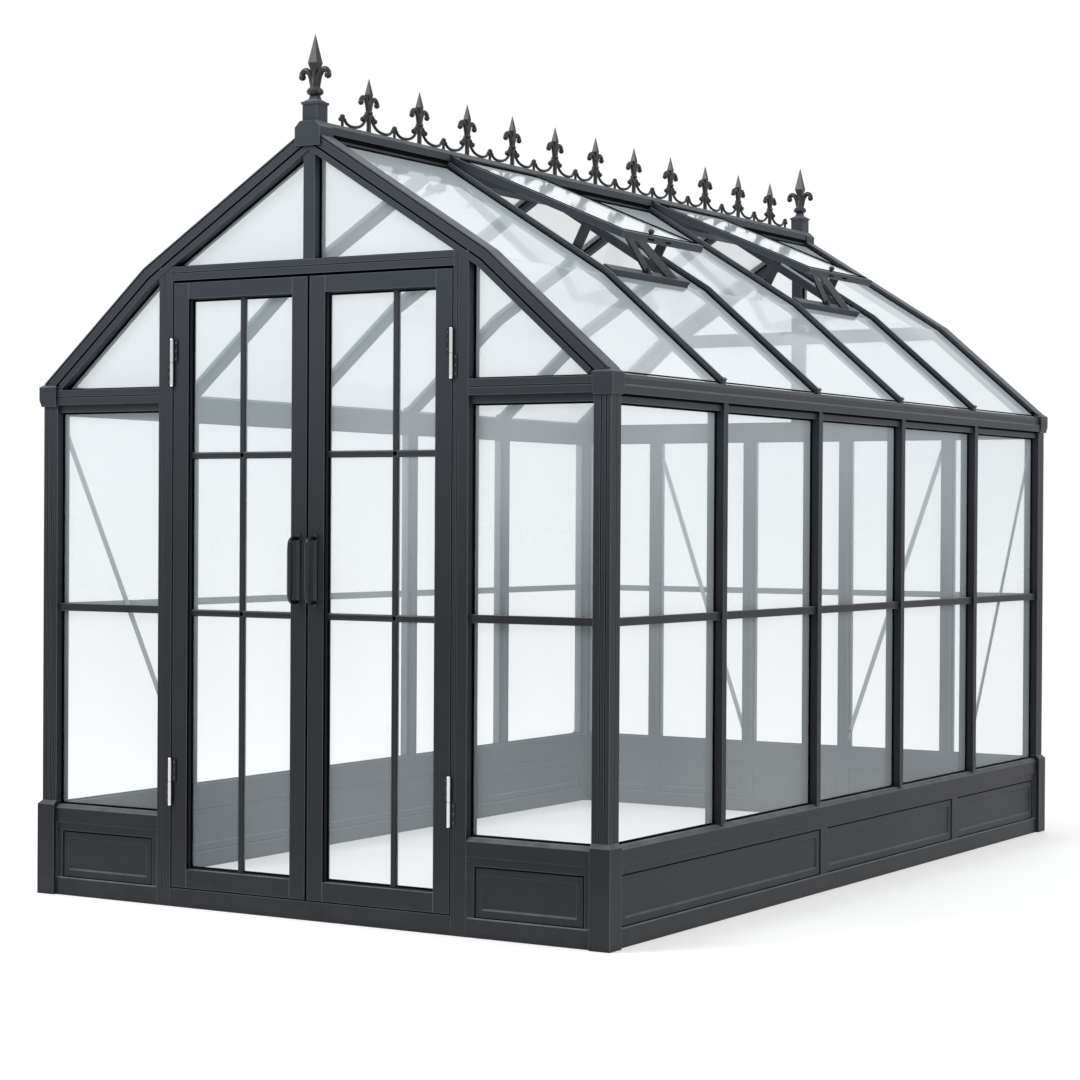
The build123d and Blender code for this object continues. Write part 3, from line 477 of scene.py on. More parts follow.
glass_nodes = []
for part in frame["record"]["subparts"]:
    piece = nodes[part["node"]]
    finish = finish_of_slot[part["material_slot"]]
    for slot in piece.material_slots:
        slot.material = finish
    if finish is clear_glass:
        glass_nodes.append(part["node"])
    elif part["node"] not in round_nodes:
        add_bevel(piece, frame_bevel)

# %% [markdown]
# ## A tool for long thin profiles
#
# Nearly everything that is missing is a long strip with a fixed section: rubber seals, glazing bars,
# covers on the roof bars, mouldings on the gables. A curve with a bevel object could make them, but
# its corners twist. This helper sweeps a section along a flat path instead and mitres each corner, as
# a fitter would cut the real lengths.

# %% Strips with mitred corners
def join_rings(bm, first, second):
    """Fills the band between two rings of corners."""
    for i in range(len(first)):
        j = (i + 1) % len(first)
        bm.faces.new((first[i], first[j], second[j], second[i]))


def moulding(bm, points, out, section, closed=False):
    """Sweeps a section along a flat path. Its points are (across, out), with across to the left."""
    points = [Vector(point) for point in points]
    out = Vector(out).normalized()
    count = len(points)
    rings = []
    for i, place in enumerate(points):
        sides = []
        if closed or i > 0:
            sides.append(out.cross((place - points[i - 1]).normalized()))
        if closed or i < count - 1:
            sides.append(out.cross((points[(i + 1) % count] - place).normalized()))
        across = sum(sides, Vector()).normalized()
        across /= across.dot(sides[0])
        rings.append([bm.verts.new(place + across * a + out * o) for a, o in section])
    following = rings[1:] + rings[:1] if closed else rings[1:]
    for first, second in zip(rings, following):
        join_rings(bm, first, second)
    if not closed:
        bm.faces.new(rings[0])
        bm.faces.new(rings[-1])


print("strip tool ready")

# %% [markdown]
# Most strips are plain rectangles laid on a face. Their backs sink a hair below that face, so no gap
# shows between the two. When a group of strips is complete, it becomes one piece that rides on its
# body: its slot in the record picks the finish, and what has no slot is black rubber, which also
# serves as painted shade.

# %% Sections and finished pieces
sunk = 0.0005


def rectangle(a_low, a_high, o_low, o_high):
    """A plain rectangular section, from its reach across and its reach outwards."""
    return [(a_low, o_low), (a_high, o_low), (a_high, o_high), (a_low, o_high)]


def laid_on(a_low, a_high, proud):
    """The section of a flat strip that lies on a face and stands this proud of it."""
    return rectangle(a_low, a_high, -sunk, proud)


def finish_piece(bm, name, body, slot=None, bevel=0.0):
    """Turns a bmesh into a piece that rides on a body; without a slot it takes the black of the
    rubber, also used for painted shade.
    """
    bmesh.ops.recalc_face_normals(bm, faces=bm.faces)
    mesh = bpy.data.meshes.new(name)
    bm.to_mesh(mesh)
    bm.free()
    mesh.materials.append(finish_of_slot[slot] if slot else rubber_and_shade_black)
    piece = bpy.data.objects.new(name, mesh)
    bpy.context.collection.objects.link(piece)
    if bevel:
        add_bevel(piece, bevel)
    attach(piece, body)


print("sections sink", sunk, "m")

# %% [markdown]
# ## Rubber seals
#
# A black wedge of rubber holds every pane, inside and outside, and draws the dark line around the
# glass that makes a greenhouse look crisp. The panes are already in the frame, so their borders are
# found rather than typed in: this search cleans a copy of the mesh, merges what lies in one plane and
# keeps the large faces.

# %% Broad faces of a node
same_place = 1e-5
same_plane = math.radians(1)


def broad_faces(node, least_area):
    """The faces of a node above an area: the corners of each in order, and its normal."""
    bm = bmesh.new()
    bm.from_mesh(nodes[node].data)
    bmesh.ops.remove_doubles(bm, verts=bm.verts, dist=same_place)
    bmesh.ops.dissolve_limit(bm, angle_limit=same_plane, verts=bm.verts, edges=bm.edges)
    found = []
    for face in bm.faces:
        if face.calc_area() > least_area:
            found.append(([vert.co.copy() for vert in face.verts], face.normal.copy()))
    bm.free()
    return found


pane_area = 0.02
print(len(broad_faces("vent_glass", pane_area)), "broad faces on the vent panes")

# %% [markdown]
# The wedge then runs around each broad face of each pane. The lower roof panes only butt against the
# upper ones, so it leaves out that edge.

# %% Seals around every pane
seal_wedge = [(0, 0), (0.006, 0), (0.004, 0.003), (0, 0.005)]
body_of = {name: body for body, names in frame["record"]["behaviour"]["bodies"].items()
           for name in names}
open_edges = {"lower_roof_glass": max, "upper_roof_glass": min}


def open_at(corners, pick):
    """The corners in order, from one end of the highest or lowest edge round to the other."""
    count = len(corners)
    edge = pick(range(count), key=lambda i: corners[i].z + corners[(i + 1) % count].z)
    start = (edge + 1) % count
    return corners[start:] + corners[:start]


for node in glass_nodes:
    bm = bmesh.new()
    borders = broad_faces(node, pane_area)
    for corners, normal in borders:
        if node in open_edges:
            moulding(bm, open_at(corners, open_edges[node]), normal, seal_wedge)
        else:
            moulding(bm, corners, normal, seal_wedge, closed=True)
    finish_piece(bm, node.replace("glass", "seals"), body_of[node])
    print(node, "has", len(borders), "seals")

# %% [markdown]
# A black strip runs around each sunk panel of the base as a painted shadow line, where the shallow
# band steps down; the sunk panels are separate sheets. The same search finds them again: the fields in
# their middles are the only broad faces of that height, and the strip lies a set distance outside
# their border and one step of the panelling higher.

# %% Painted shadow lines around the base panels
field_height = 0.0965
height_slack = 0.002
shadow_near, shadow_far = 0.0268, 0.0305
step_rise, shadow_rise = 0.0035, 0.0047
panel_shadow_line = rectangle(-shadow_far, -shadow_near, step_rise, shadow_rise)
bm = bmesh.new()
panels = 0
for node in ("base_walls_front", "base_walls_side", "base_wall_rear"):
    for corners, normal in broad_faces(node, pane_area):
        heights = [corner.z for corner in corners]
        tall = max(heights) - min(heights)
        if len(corners) == 4 and abs(tall - field_height) < height_slack:
            moulding(bm, corners, normal, panel_shadow_line, closed=True)
            panels += 1
finish_piece(bm, "base_panel_shadow_lines", "greenhouse")
print(panels, "panels have a painted shadow line")

# %% [markdown]
# ## Glazing bars of the doors
#
# Each leaf is divided by one upright and two cross bars. They are slim T bars stuck to both faces of
# the pane, so a low section with chamfered shoulders is swept along each line, front and back. They
# ride with their leaf.

# %% Door glazing bars
bar_half, bar_top_half = 0.011, 0.007
bar_shoulder, bar_rise = 0.003, 0.007
bar_section = [(-bar_half, 0), (bar_half, 0), (bar_half, bar_shoulder), (bar_top_half, bar_rise),
               (-bar_top_half, bar_rise), (-bar_half, bar_shoulder)]
cross_heights = (0.966, 1.480)
upright_shift = {"left": 0.0, "right": 0.050}
for hand in ("left", "right"):
    low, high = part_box(f"{hand}_door_glass")
    centre = (low[0] + high[0]) / 2 + upright_shift[hand]
    bm = bmesh.new()
    for y, out in ((low[1], -1), (high[1], 1)):
        moulding(bm, [(centre, y, low[2]), (centre, y, high[2])], (0, out, 0), bar_section)
        for z in cross_heights:
            moulding(bm, [(low[0], y, z), (high[0], y, z)], (0, out, 0), bar_section)
    finish_piece(bm, f"{hand}_door_glazing_bars", f"{hand}_leaf", "charcoal_frame",
                 bevel=0.0006)
    print(hand, "leaf: upright at x =", round(centre, 3))

# %% [markdown]
# ## Jambs, linings and stops of the doors
#
# Two flat bands face each jamb, with a fine line between them, which is nearer to the opening on the
# right than on the left. The bands are low strips with a bevel, so that line is a real groove.

# %% Bands on the jambs
jamb_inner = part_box("door_head")[1][0]
jamb_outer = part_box("door_jambs")[1][0]
band_margin = 0.0005
fine_line = 0.003
line_from_opening = {"left": 0.0345, "right": 0.0145}
band_proud = 0.0020
band_heights = (0.002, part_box("door_head")[1][2] - 0.001)


def upright_strip(bm, x, y, heights, out, section):
    """A straight vertical strip whose section lies against a face that looks along out."""
    moulding(bm, [(x, y, z) for z in heights], out, section)


bm = bmesh.new()
for hand, side in (("left", -1), ("right", 1)):
    line = jamb_inner + line_from_opening[hand]
    for near, far in ((jamb_inner + band_margin, line),
                      (line + fine_line, jamb_outer - band_margin)):
        rightmost = max(side * near, side * far)
        upright_strip(bm, rightmost, gable_front, band_heights, (0, -1, 0),
                      laid_on(0, far - near, band_proud))
finish_piece(bm, "door_jamb_bands", "greenhouse", "charcoal_frame", bevel=0.0008)
print("bands from", round(jamb_inner + band_margin, 4), "to", round(jamb_outer - band_margin, 4))

# %% [markdown]
# A rubber lining runs down the inner sides of the stiles, where they hold the pane. Its two strips
# are swept in opposite directions, because the section always lies to the left of its path.

# %% Lining of the leaves
bead = 0.004
lining_strip = laid_on(0.002, 0.009, 0.0010)
for hand in ("left", "right"):
    stile_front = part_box(f"{hand}_door_stiles")[0][1]
    pane_low, pane_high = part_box(f"{hand}_door_glass")
    heights = (pane_low[2] - bead, pane_high[2] + bead)
    bm = bmesh.new()
    upright_strip(bm, pane_low[0] - bead, stile_front, heights[::-1], (1, 0, 0), lining_strip)
    upright_strip(bm, pane_high[0] + bead, stile_front, heights, (-1, 0, 0), lining_strip)
    finish_piece(bm, f"{hand}_door_lining", f"{hand}_leaf")
print("leaves lined from z =", round(heights[0], 3), "to", round(heights[1], 3))

# %% [markdown]
# Daylight would show through the gaps around the leaves. Real frames carry a rubber stop behind the
# leaves and a brush on each meeting edge. The stop belongs to the building; each brush rides on its
# own leaf, and both are short enough to pass each other as the doors swing.

# %% Door stops and brushes
left_low, left_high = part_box("left_door_stiles")
right_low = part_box("right_door_stiles")[0]
head_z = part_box("door_head")[0][2]
sill_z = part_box("door_sill")[1][2]
stop_gap = 0.002
stop_reach = 0.014
stop_depth = 0.012
stop_y = left_high[1] + stop_gap
opening = ((-jamb_inner, sill_z), (jamb_inner, sill_z), (jamb_inner, head_z),
           (-jamb_inner, head_z))
bm = bmesh.new()
moulding(bm, [(x, stop_y, z) for x, z in opening], (0, -1, 0),
         rectangle(0, stop_reach, -stop_depth, 0), closed=True)
finish_piece(bm, "door_stop_seal", "greenhouse")
brush_y = left_low[1] + 0.009
brush_half = 0.005
brush_reach = 0.0035
for hand, x, out in (("left", left_high[0], 1), ("right", right_low[0], -1)):
    bm = bmesh.new()
    upright_strip(bm, x, brush_y, (left_low[2], left_high[2]), (out, 0, 0),
                  rectangle(-brush_half, brush_half, 0, brush_reach))
    finish_piece(bm, f"{hand}_door_brush", f"{hand}_leaf")
print("door stop around", round(2 * jamb_inner, 3), "by", round(head_z - sill_z, 3), "m")

# %% [markdown]
# ## Lines of the roof
#
# The next strips follow the slope of the roof, so its corners are read from the frame once: the kink
# between the two pitches and the peak under the ridge, both as (x, z) in the plane of the gable.

# %% The roof line
kink = Vector((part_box("gable_rafters_upper")[1][0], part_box("gable_rafters_lower")[1][2]))
peak = Vector((0.0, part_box("gable_rafters_upper")[1][2]))
cap_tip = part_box("corner_post_caps")[1][2]
rafter_foot = Vector((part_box("gable_rafters_lower")[1][0], cap_tip))
lower_run = (rafter_foot - kink).normalized()
upper_run = (kink - peak).normalized()


def lower_at_height(z):
    """The point of the lower pitch at height z."""
    return kink + lower_run * ((z - kink[1]) / lower_run[1])


def pitch_at(start, run, x):
    """The point at x of the pitch that runs down from a start."""
    return start + run * ((x - start[0]) / run[0])


def roof_path(y, foot, head):
    """The +X slope from its foot to its head, at one y, as points in space."""
    return [Vector((point[0], y, point[1])) for point in (foot, kink, head)]


def mirror_x(points):
    """The same path on the other slope, turned around so its left side stays inside."""
    return [Vector((-point[0], point[1], point[2])) for point in reversed(points)]


print("kink", tuple(round(v, 4) for v in kink), "peak", tuple(round(v, 4) for v in peak))

# %% [markdown]
# ## Gable mouldings
#
# The gable rafters are not flat bars: a cover plate runs over the top, and the face below it is a wide
# band and a narrower bead. Black rubber fills the channels between them. Each strip goes up one slope
# and down the other in a single mitred path.

# %% Strips on the gable rafters
gable_low, gable_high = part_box("gable_rafters_upper")
# nearer and further edge below the roof line, how proud it stands, lowest height of its foot
rafter_strips = [
    (0.0035, 0.0315, 0.0050, 1.7000),
    (0.0385, 0.0580, 0.0040, 1.7090),
]
rafter_rubbers = [
    (0.0000, 0.0038, 0.0008, 1.7120),
    (0.0310, 0.0390, 0.0008, 1.7050),
]
rafter_cover = rectangle(-0.005, 0.0, -0.062, 0.006)
cover_drop = 0.014
level_share = abs(lower_run[0])


def over_the_gable(bm, y, out, foot, section):
    """Sweeps a section up one slope of a gable, over the peak and down the other."""
    up = roof_path(y, foot, peak)
    path = up + mirror_x(up)[1:]
    if out > 0:
        path.reverse()
    moulding(bm, path, (0, out, 0), section)


for name, y, out in (("front", gable_low[1], -1), ("rear", gable_high[1], 1)):
    painted = bmesh.new()
    rubber = bmesh.new()
    for bm, strips in ((painted, rafter_strips), (rubber, rafter_rubbers)):
        for near, far, proud, foot_z in strips:
            foot = lower_at_height(foot_z + far * level_share)
            over_the_gable(bm, y, out, foot, laid_on(near, far, proud))
    over_the_gable(painted, y, out, lower_at_height(cap_tip - cover_drop), rafter_cover)
    finish_piece(painted, f"{name}_gable_mouldings", "greenhouse", "charcoal_frame",
                 bevel=0.0012)
    finish_piece(rubber, f"{name}_gable_rubbers", "greenhouse")
    print(name, "gable:", len(rafter_strips) + 1, "strips and", len(rafter_rubbers), "rubbers")

# %% [markdown]
# ## Covers on the roof bars
#
# A snap-on cover closes each roof bar and gives it the raised spine that reads as a double line. It is
# narrower than the bar, so the vent sashes can close beside it. A small lug ends each bar at the
# gutter.

# %% Roof bar covers
def distinct_y(node):
    """The different y values of a node's corners, in order."""
    return sorted({round(vert.co.y, 4) for vert in nodes[node].data.vertices})


bar_sides = distinct_y("roof_bars_lower")
bar_lines = [(low + high) / 2 for low, high in zip(bar_sides[::2], bar_sides[1::2])]
bar_foot_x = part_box("roof_bars_lower")[1][0]
ridge_low, ridge_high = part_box("ridge_beam")
ridge_foot = pitch_at(peak, upper_run, ridge_high[0])
cover = [(0.0, -0.006), (-0.0045, -0.006), (-0.006, -0.003), (-0.006, 0.003), (-0.0045, 0.006),
         (0.0, 0.006)]
cover_back = 0.002
lug = rectangle(-0.008, 0.006, -0.014, 0.014)
lug_backs = (0.001, 0.008)
covers = bmesh.new()
lugs = bmesh.new()
for y in bar_lines:
    slope_line = roof_path(y, pitch_at(kink, lower_run, bar_foot_x - cover_back), ridge_foot)
    lug_line = []
    for back in lug_backs:
        x, z = pitch_at(kink, lower_run, bar_foot_x - back)
        lug_line.append(Vector((x, y, z)))
    for bm, path, section in ((covers, slope_line, cover), (lugs, lug_line, lug)):
        moulding(bm, path, (0, -1, 0), section)
        moulding(bm, mirror_x(path), (0, -1, 0), section)
finish_piece(covers, "roof_bar_covers", "greenhouse", "charcoal_frame")
finish_piece(lugs, "roof_bar_lugs", "greenhouse", "charcoal_frame", bevel=0.001)
print("roof bars at y =", [round(y, 4) for y in bar_lines])

# %% [markdown]
# ## Ridge and eaves
#
# The ridge beam carries a flashing under its chamfer, and under that a black strip against the glass,
# a painted shade for the shadow gap there. The sashes of the vents hang from its +X side, so the
# strips stop beside them. Another black strip of painted shade runs under each gutter, where it shades
# the rail below, and it goes into the same piece.

# %% Ridge flashing, painted shade under the ridge and the gutters
sash_sides = distinct_y("vent_sashes")
sash_spans = [(sash_sides[0], sash_sides[3]), (sash_sides[4], sash_sides[7])]
stops = [ridge_low[1], *(edge for span in sash_spans for edge in span), ridge_high[1]]
clear_spans = list(zip(stops[::2], stops[1::2]))
ridge_line = ridge_foot[1]
flashing_high = ridge_high[2] - 0.0145
flashing_low = ridge_line + 0.010
ridge_shade_low = ridge_line - 0.004
flashing_proud, ridge_shade_proud = 0.0035, 0.0010
gutter_low, gutter_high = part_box("eave_gutters")
rail_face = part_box("side_top_rails")[1][0]
gutter_shade, gutter_shade_proud = 0.007, 0.0025


def side_strip(bm, x, side, span, z_low, height, proud):
    """A level strip on a face that looks to +X or -X, upwards from z_low."""
    path = [(side * x, y, z_low) for y in span]
    reach = sorted((0, side * height))
    moulding(bm, path, (side, 0, 0), laid_on(*reach, proud))


flashing = bmesh.new()
shade_strips = bmesh.new()
for side in (-1, 1):
    spans = clear_spans if side > 0 else [(ridge_low[1], ridge_high[1])]
    for span in spans:
        side_strip(flashing, ridge_high[0], side, span, flashing_low,
                   flashing_high - flashing_low, flashing_proud)
        side_strip(shade_strips, ridge_high[0], side, span, ridge_shade_low, flashing_low - ridge_shade_low,
                   ridge_shade_proud)
    side_strip(shade_strips, rail_face, side, (gutter_low[1], gutter_high[1]),
               gutter_low[2] - gutter_shade, gutter_shade, gutter_shade_proud)
finish_piece(flashing, "ridge_flashing", "greenhouse", "charcoal_frame", bevel=0.0010)
# black strips of painted shade under the ridge face and under the gutters
finish_piece(shade_strips, "ridge_and_gutter_shade_strips", "greenhouse")
print("ridge strips stop at", [tuple(round(v, 3) for v in span) for span in sash_spans])

# %% [markdown]
# The rails of the gable walls at eaves height have two bands with a channel between them. At the
# front the doors interrupt them; at the rear they run from post to post.

# %% Bands on the eaves rails
rail_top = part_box("front_eave_rails")[1][2]
post_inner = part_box("front_eave_rails")[1][0]
upper_band, band_gap, lower_band = 0.022, 0.004, 0.024
eaves_band_proud = 0.0035
upper_z = rail_top - upper_band
lower_z = upper_z - band_gap - lower_band
bm = bmesh.new()
for z, height in ((upper_z, upper_band), (lower_z, lower_band)):
    section = laid_on(0, height, eaves_band_proud)
    for x_low, x_high in ((-post_inner, -jamb_outer), (jamb_outer, post_inner)):
        moulding(bm, [(x_low, gable_low[1], z), (x_high, gable_low[1], z)], (0, -1, 0), section)
    moulding(bm, [(post_inner, gable_high[1], z), (-post_inner, gable_high[1], z)], (0, 1, 0),
             section)
finish_piece(bm, "eaves_bands", "greenhouse", "charcoal_frame", bevel=0.0008)
print("eaves bands from z =", round(lower_z, 4), "to", round(rail_top, 4))

# %% [markdown]
# ## Gaskets in the corner posts
#
# Each corner post is an extrusion with narrow grooves down its outer faces: two on the gable side, one
# on the long side. A strip of black rubber lies in every groove, just under the surface.

# %% Corner post gaskets
post_low, post_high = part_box("corner_posts")
groove_places = (0.024, 0.042)
groove_size = 0.004
gasket_height = 0.0015
in_groove = rectangle(-groove_size / 2, groove_size / 2, 0, gasket_height)
heights = (post_low[2], post_high[2])
inner_y = post_high[1] - post_high[0] + post_inner
bm = bmesh.new()
for side_x in (-1, 1):
    for side_y in (-1, 1):
        y = side_y * (post_high[1] - groove_size)
        for place in groove_places:
            x = side_x * (post_inner + place + groove_size / 2)
            upright_strip(bm, x, y, heights, (0, side_y, 0), in_groove)
        x = side_x * (post_high[0] - groove_size)
        y = side_y * (inner_y + groove_places[0] + groove_size / 2)
        upright_strip(bm, x, y, heights, (side_x, 0, 0), in_groove)
finish_piece(bm, "corner_post_gaskets", "greenhouse")
print("gaskets in", 4 * (len(groove_places) + 1), "grooves")

# %% [markdown]
# ## Round hardware
#
# Screws, knobs, collars and the caps of the hinges are all turned shapes. One helper revolves a short
# profile about any axis, which keeps their outlines crisp at very few faces. The profiles are lists
# of (radius, height), and most start a hair below the face that they stand on.

# %% Turned shapes
def turned(bm, place, axis, profile, sides=16):
    """A round piece about an axis, from (radius, height) points; its ends are closed."""
    turn = Vector(axis).to_track_quat("Z", "Y")
    rings = []
    for radius, height in profile:
        ring = []
        for i in range(sides):
            angle = 2 * math.pi * i / sides
            local = Vector((radius * math.cos(angle), radius * math.sin(angle), height))
            ring.append(bm.verts.new(Vector(place) + turn @ local))
        rings.append(ring)
    for first, second in zip(rings, rings[1:]):
        join_rings(bm, first, second)
    bm.faces.new(rings[0])
    bm.faces.new(rings[-1])


screw_head = [(0.0042, -sunk), (0.0042, 0.0008), (0.0032, 0.0020), (0.0016, 0.0023),
              (0.0014, 0.0010)]
bolt_head = [(0.0080, -sunk), (0.0080, 0.0025), (0.0065, 0.0045), (0.0030, 0.0052)]
knob = [(0.0050, -0.001), (0.0050, 0.004), (0.0095, 0.008), (0.0110, 0.013), (0.0095, 0.018),
        (0.0050, 0.021)]
collar = [(0.0105, -sunk), (0.0105, 0.0025), (0.0085, 0.0040)]
print("turned profiles ready")

# %% [markdown]
# The hinges get a domed cap on each end of the barrel, thin rings around it, and three screws in each
# plate. The upper knuckle of each barrel turns with the leaf and the lower one stays on the jamb, so
# one loop fills both sets of pieces.

# %% Hinge caps, rings and screws
hinge_heights = (0.410, 1.785)
knuckle_gap = 0.002
knuckle_length = 0.074
barrel_radius = 0.0065
hinge_x = -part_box("left_door_hinges")[0][0] - barrel_radius
hinge_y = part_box("left_door_hinges")[0][1] + barrel_radius
barrel_cap = [(barrel_radius, -sunk), (0.0072, 0.0008), (0.0060, 0.0030), (0.0030, 0.0048),
              (0.0010, 0.0052)]
ring = [(0.0062, -0.0009), (0.0071, -0.0005), (0.0071, 0.0005), (0.0062, 0.0009)]
ring_shares = (0.33, 0.66)
screw_shares = (0.15, 0.5, 0.85)
screw_offset = 0.014
plate_front = gable_front - 0.004
fixed = bmesh.new()
fixed_screws = bmesh.new()
for hand, sign in (("left", -1), ("right", 1)):
    moving = bmesh.new()
    moving_screws = bmesh.new()
    for height in hinge_heights:
        for barrel, screws, way in ((moving, moving_screws, 1), (fixed, fixed_screws, -1)):
            start = height + way * knuckle_gap / 2
            screw_x = sign * (hinge_x - way * screw_offset)
            tip = start + way * knuckle_length
            turned(barrel, (sign * hinge_x, hinge_y, tip), (0, 0, way), barrel_cap)
            for share in ring_shares:
                z = start + way * share * knuckle_length
                turned(barrel, (sign * hinge_x, hinge_y, z), (0, 0, 1), ring)
            for share in screw_shares:
                z = start + way * share * knuckle_length
                turned(screws, (screw_x, plate_front, z), (0, -1, 0), screw_head, sides=10)
    finish_piece(moving, f"{hand}_hinge_caps", f"{hand}_leaf", "hinge_steel")
    finish_piece(moving_screws, f"{hand}_hinge_screws", f"{hand}_leaf", "charcoal_frame")
finish_piece(fixed, "hinge_bracket_caps", "greenhouse", "hinge_steel")
finish_piece(fixed_screws, "hinge_bracket_screws", "greenhouse", "charcoal_frame")
print("hinge axis at", round(hinge_x, 4), round(hinge_y, 4))

# %% [markdown]
# The pull handles are bent bars. Each has a thicker grip over its straight run, a slim back plate on
# the stile, and a collar around each foot. The grip is set back so that it does not stand out further
# than the bar does.

# %% Handle grips, plates and collars
grip_radius = 0.0088
grip_taper = 0.012
bend_length = 0.025
plate_over = 0.006
plate_section = laid_on(-0.0075, 0.0075, 0.0030)
for hand in ("left", "right"):
    low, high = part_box(f"{hand}_door_handle")
    radius = (high[0] - low[0]) / 2
    middle = (low[0] + high[0]) / 2
    bm = bmesh.new()
    for z in (low[2] + radius, high[2] - radius):
        turned(bm, (middle, high[1], z), (0, -1, 0), collar, sides=24)
    upright_strip(bm, middle, high[1], (low[2] - plate_over, high[2] + plate_over), (0, -1, 0),
                  plate_section)
    run = high[2] - low[2] - 2 * bend_length
    grip = [(radius, 0), (grip_radius, grip_taper), (grip_radius, run - grip_taper), (radius, run)]
    foot = (middle, low[1] + grip_radius, low[2] + bend_length)
    turned(bm, foot, (0, 0, 1), grip, sides=32)
    finish_piece(bm, f"{hand}_handle_fittings", f"{hand}_leaf", "handle_black")
print("grips", round(run, 3), "m long")

# %% [markdown]
# ## Vents and braces
#
# Each vent sash has a hinge tube along its head, a knob on its lower bar, a knob on the sill, and two
# drain slots. The pane of a sash gives its slope, and the furthest corners of sash and sill give the
# places.

# %% Vent details
pane_normals = [normal for corners, normal in broad_faces("vent_glass", pane_area)]
sash_normal = max(pane_normals, key=lambda normal: normal.z)
down_sash = Vector((sash_normal.z, 0, -sash_normal.x))
sash_corners = [vert.co for vert in nodes["vent_sashes"].data.vertices]
sash_tip = max(sash_corners, key=lambda co: co.x)
sash_head = max(sash_corners, key=lambda co: co.z)
sill_top = max((vert.co for vert in nodes["vent_curbs"].data.vertices), key=lambda co: co.x)
tube_x, tube_z = sash_head.x + 0.004, sash_head.z + 0.001
tube_radius = 0.005
octagon = [(tube_radius * math.cos(math.pi * (i + 0.5) / 4),
            tube_radius * math.sin(math.pi * (i + 0.5) / 4)) for i in range(8)]
# both knobs and the slots are placed from the middle of a sash
sash_knob = Vector((sash_tip.x, -0.09, sash_tip.z)) - down_sash * 0.009
sill_knob = Vector((sill_top.x - 0.012, -0.02, sill_top.z + 0.006))
sill_lean = (0.53, 0, 0.85)
slot_line = Vector((sash_tip.x, 0, sash_tip.z)) - sash_normal * 0.013
slot_starts = (-0.11, 0.01)
slot_length = 0.042
slot_section = laid_on(-0.003, 0.003, 0.0006)
metalwork = bmesh.new()
slots = bmesh.new()
for y_low, y_high in sash_spans:
    middle = Vector((0, (y_low + y_high) / 2, 0))
    tube = [(tube_x, y, tube_z) for y in (y_low, y_high)]
    moulding(metalwork, tube, (0, 0, 1), octagon)
    turned(metalwork, middle + sash_knob, sash_normal, knob)
    turned(metalwork, middle + sill_knob, sill_lean, knob)
    for start in slot_starts:
        path = [middle + slot_line + Vector((0, y, 0)) for y in (start, start + slot_length)]
        moulding(slots, path, down_sash, slot_section)
finish_piece(metalwork, "vent_knobs_and_hinges", "greenhouse", "cast_trim")
finish_piece(slots, "vent_drain_slots", "greenhouse")
print("sash leans", round(math.degrees(math.acos(sash_normal.z)), 1), "degrees")

# %% [markdown]
# The flat braces in the walls are held by one hexagonal bolt at each end. The search for broad faces
# finds both sides of each brace; the side that looks inward gets its bolts on the middle line, a
# little in from the ends.

# %% Brace bolts
brace_area = 0.015
bolt_in = 0.02
bm = bmesh.new()
bolts = 0
for corners, normal in broad_faces("wall_braces", brace_area):
    middle = sum(corners, Vector()) / len(corners)
    inward = normal.dot(middle * Vector((1, 1, 0))) < 0
    if inward:
        upwards = sorted(corners, key=lambda co: co.z)
        for pair in (upwards[:2], upwards[2:]):
            end = (pair[0] + pair[1]) / 2
            towards = (middle - end).normalized()
            turned(bm, end + towards * bolt_in, normal, bolt_head, sides=6)
            bolts += 1
finish_piece(bm, "brace_bolts", "greenhouse", "hinge_steel")
print(bolts, "bolts")

# %% [markdown]
# ## Stage
#
# A plain white floor, a white surround and large soft lamps, as in a product studio. The floor is a
# pale paint, and Light Path adds a little glow for the camera and for mirror-like surfaces only, so
# it looks white, sheds no extra light on the object and still takes its shadow.

# %% Floor
floor_size = 60
floor_z = -0.001
floor_glow = 0.36


def seen_directly(tree):
    """1 for camera, mirror and see-through rays, 0 for the light that falls on things."""
    path = tree.nodes.new("ShaderNodeLightPath")
    either = add_math(tree, "MAXIMUM", path.outputs["Is Camera Ray"], path.outputs["Is Glossy Ray"])
    return add_math(tree, "MAXIMUM", either, path.outputs["Is Transmission Ray"])


def build_floor():
    bpy.ops.mesh.primitive_plane_add(size=floor_size, location=(0, 0, floor_z))
    floor = bpy.context.object
    floor.name = "floor"
    material, tree, shader = new_material("White floor", Roughness=0.6,
                                          Base_Color=(0.80, 0.80, 0.80, 1.0),
                                          Specular_IOR_Level=0.2,
                                          Emission_Color=(1.0, 1.0, 1.0, 1.0))
    glow = add_math(tree, "MULTIPLY", seen_directly(tree), floor_glow)
    link(tree, glow, shader.inputs["Emission Strength"])
    floor.data.materials.append(material)


build_floor()
print("floor glows", floor_glow)

# %% [markdown]
# The surround lights the object at a moderate level, and Light Path raises it to a clean white for
# the camera and the reflections. Two large lamps give the building a bright side and a calmer one.

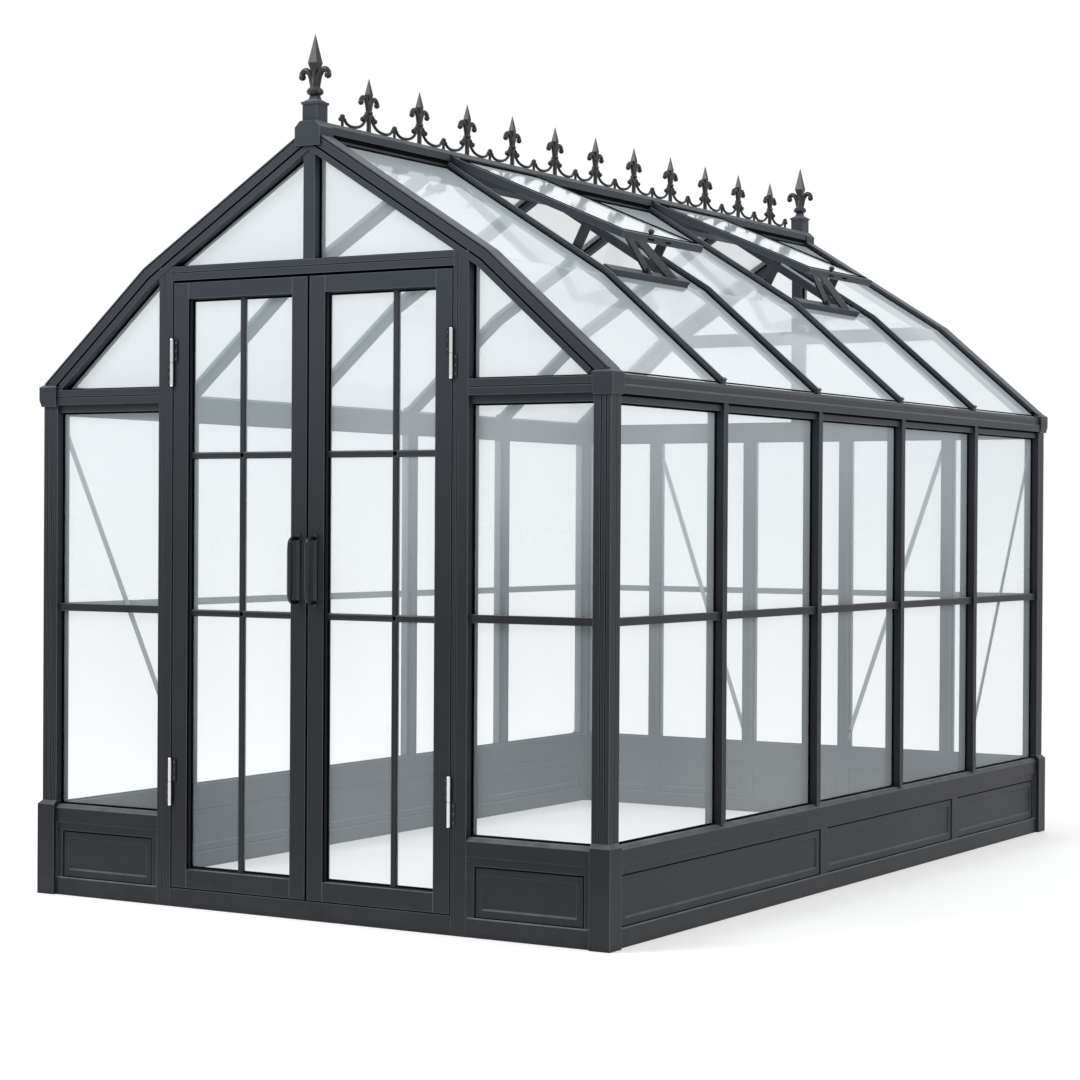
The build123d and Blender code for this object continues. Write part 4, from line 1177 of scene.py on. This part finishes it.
# %% Surround and lamps
ambient = 0.72
middle_of_object = Vector((0, 0, 1.2))


def build_surround():
    world = bpy.data.worlds.new("Studio")
    bpy.context.scene.world = world
    world.use_nodes = True
    tree = world.node_tree
    background = tree.nodes["Background"]
    background.inputs["Color"].default_value = (1.0, 1.0, 1.0, 1.0)
    lift = add_math(tree, "MULTIPLY", seen_directly(tree), 1.0 - ambient)
    link(tree, add_math(tree, "ADD", lift, ambient), background.inputs["Strength"])


def add_lamp(name, place, size, power):
    """A round soft lamp that looks at the middle of the greenhouse."""
    lamp = bpy.data.lights.new(name, "AREA")
    lamp.shape = "DISK"
    lamp.size = size
    lamp.energy = power
    holder = bpy.data.objects.new(name, lamp)
    bpy.context.collection.objects.link(holder)
    holder.location = place
    aim = middle_of_object - Vector(place)
    holder.rotation_euler = aim.to_track_quat("-Z", "Y").to_euler()


build_surround()
add_lamp("key", (-4.0, -7.0, 8.0), 4.0, 500)
add_lamp("fill", (9.0, -2.0, 6.0), 5.0, 200)
print("surround level", ambient)

# %% [markdown]
# ## Camera
#
# A long lens far from the corner, a little over a metre above the ground, almost level. Its axes are
# worked out from a turn, a dip and a roll.

# %% Camera
camera_place = Vector((4.8821, -8.4140, 1.2701))
turn = math.radians(31.306)
dip = math.radians(0.405)
roll = math.radians(0.332)
forward = Vector((-math.sin(turn) * math.cos(dip), math.cos(turn) * math.cos(dip), -math.sin(dip)))
level = Vector((math.cos(turn), math.sin(turn), 0))
upward = level.cross(forward)
right = math.cos(roll) * level + math.sin(roll) * upward
up = -math.sin(roll) * level + math.cos(roll) * upward
lens = bpy.data.cameras.new("view")
lens.sensor_width = 36.0
lens.lens = 85.93
lens.clip_end = 100
camera = bpy.data.objects.new("view", lens)
bpy.context.collection.objects.link(camera)
axes = Matrix((right, up, -forward)).transposed()
camera.matrix_world = Matrix.Translation(camera_place) @ axes.to_4x4()
bpy.context.scene.camera = camera
bpy.context.scene.view_settings.view_transform = "Standard"
print("camera", round((camera_place - middle_of_object).length, 2), "m from the object")
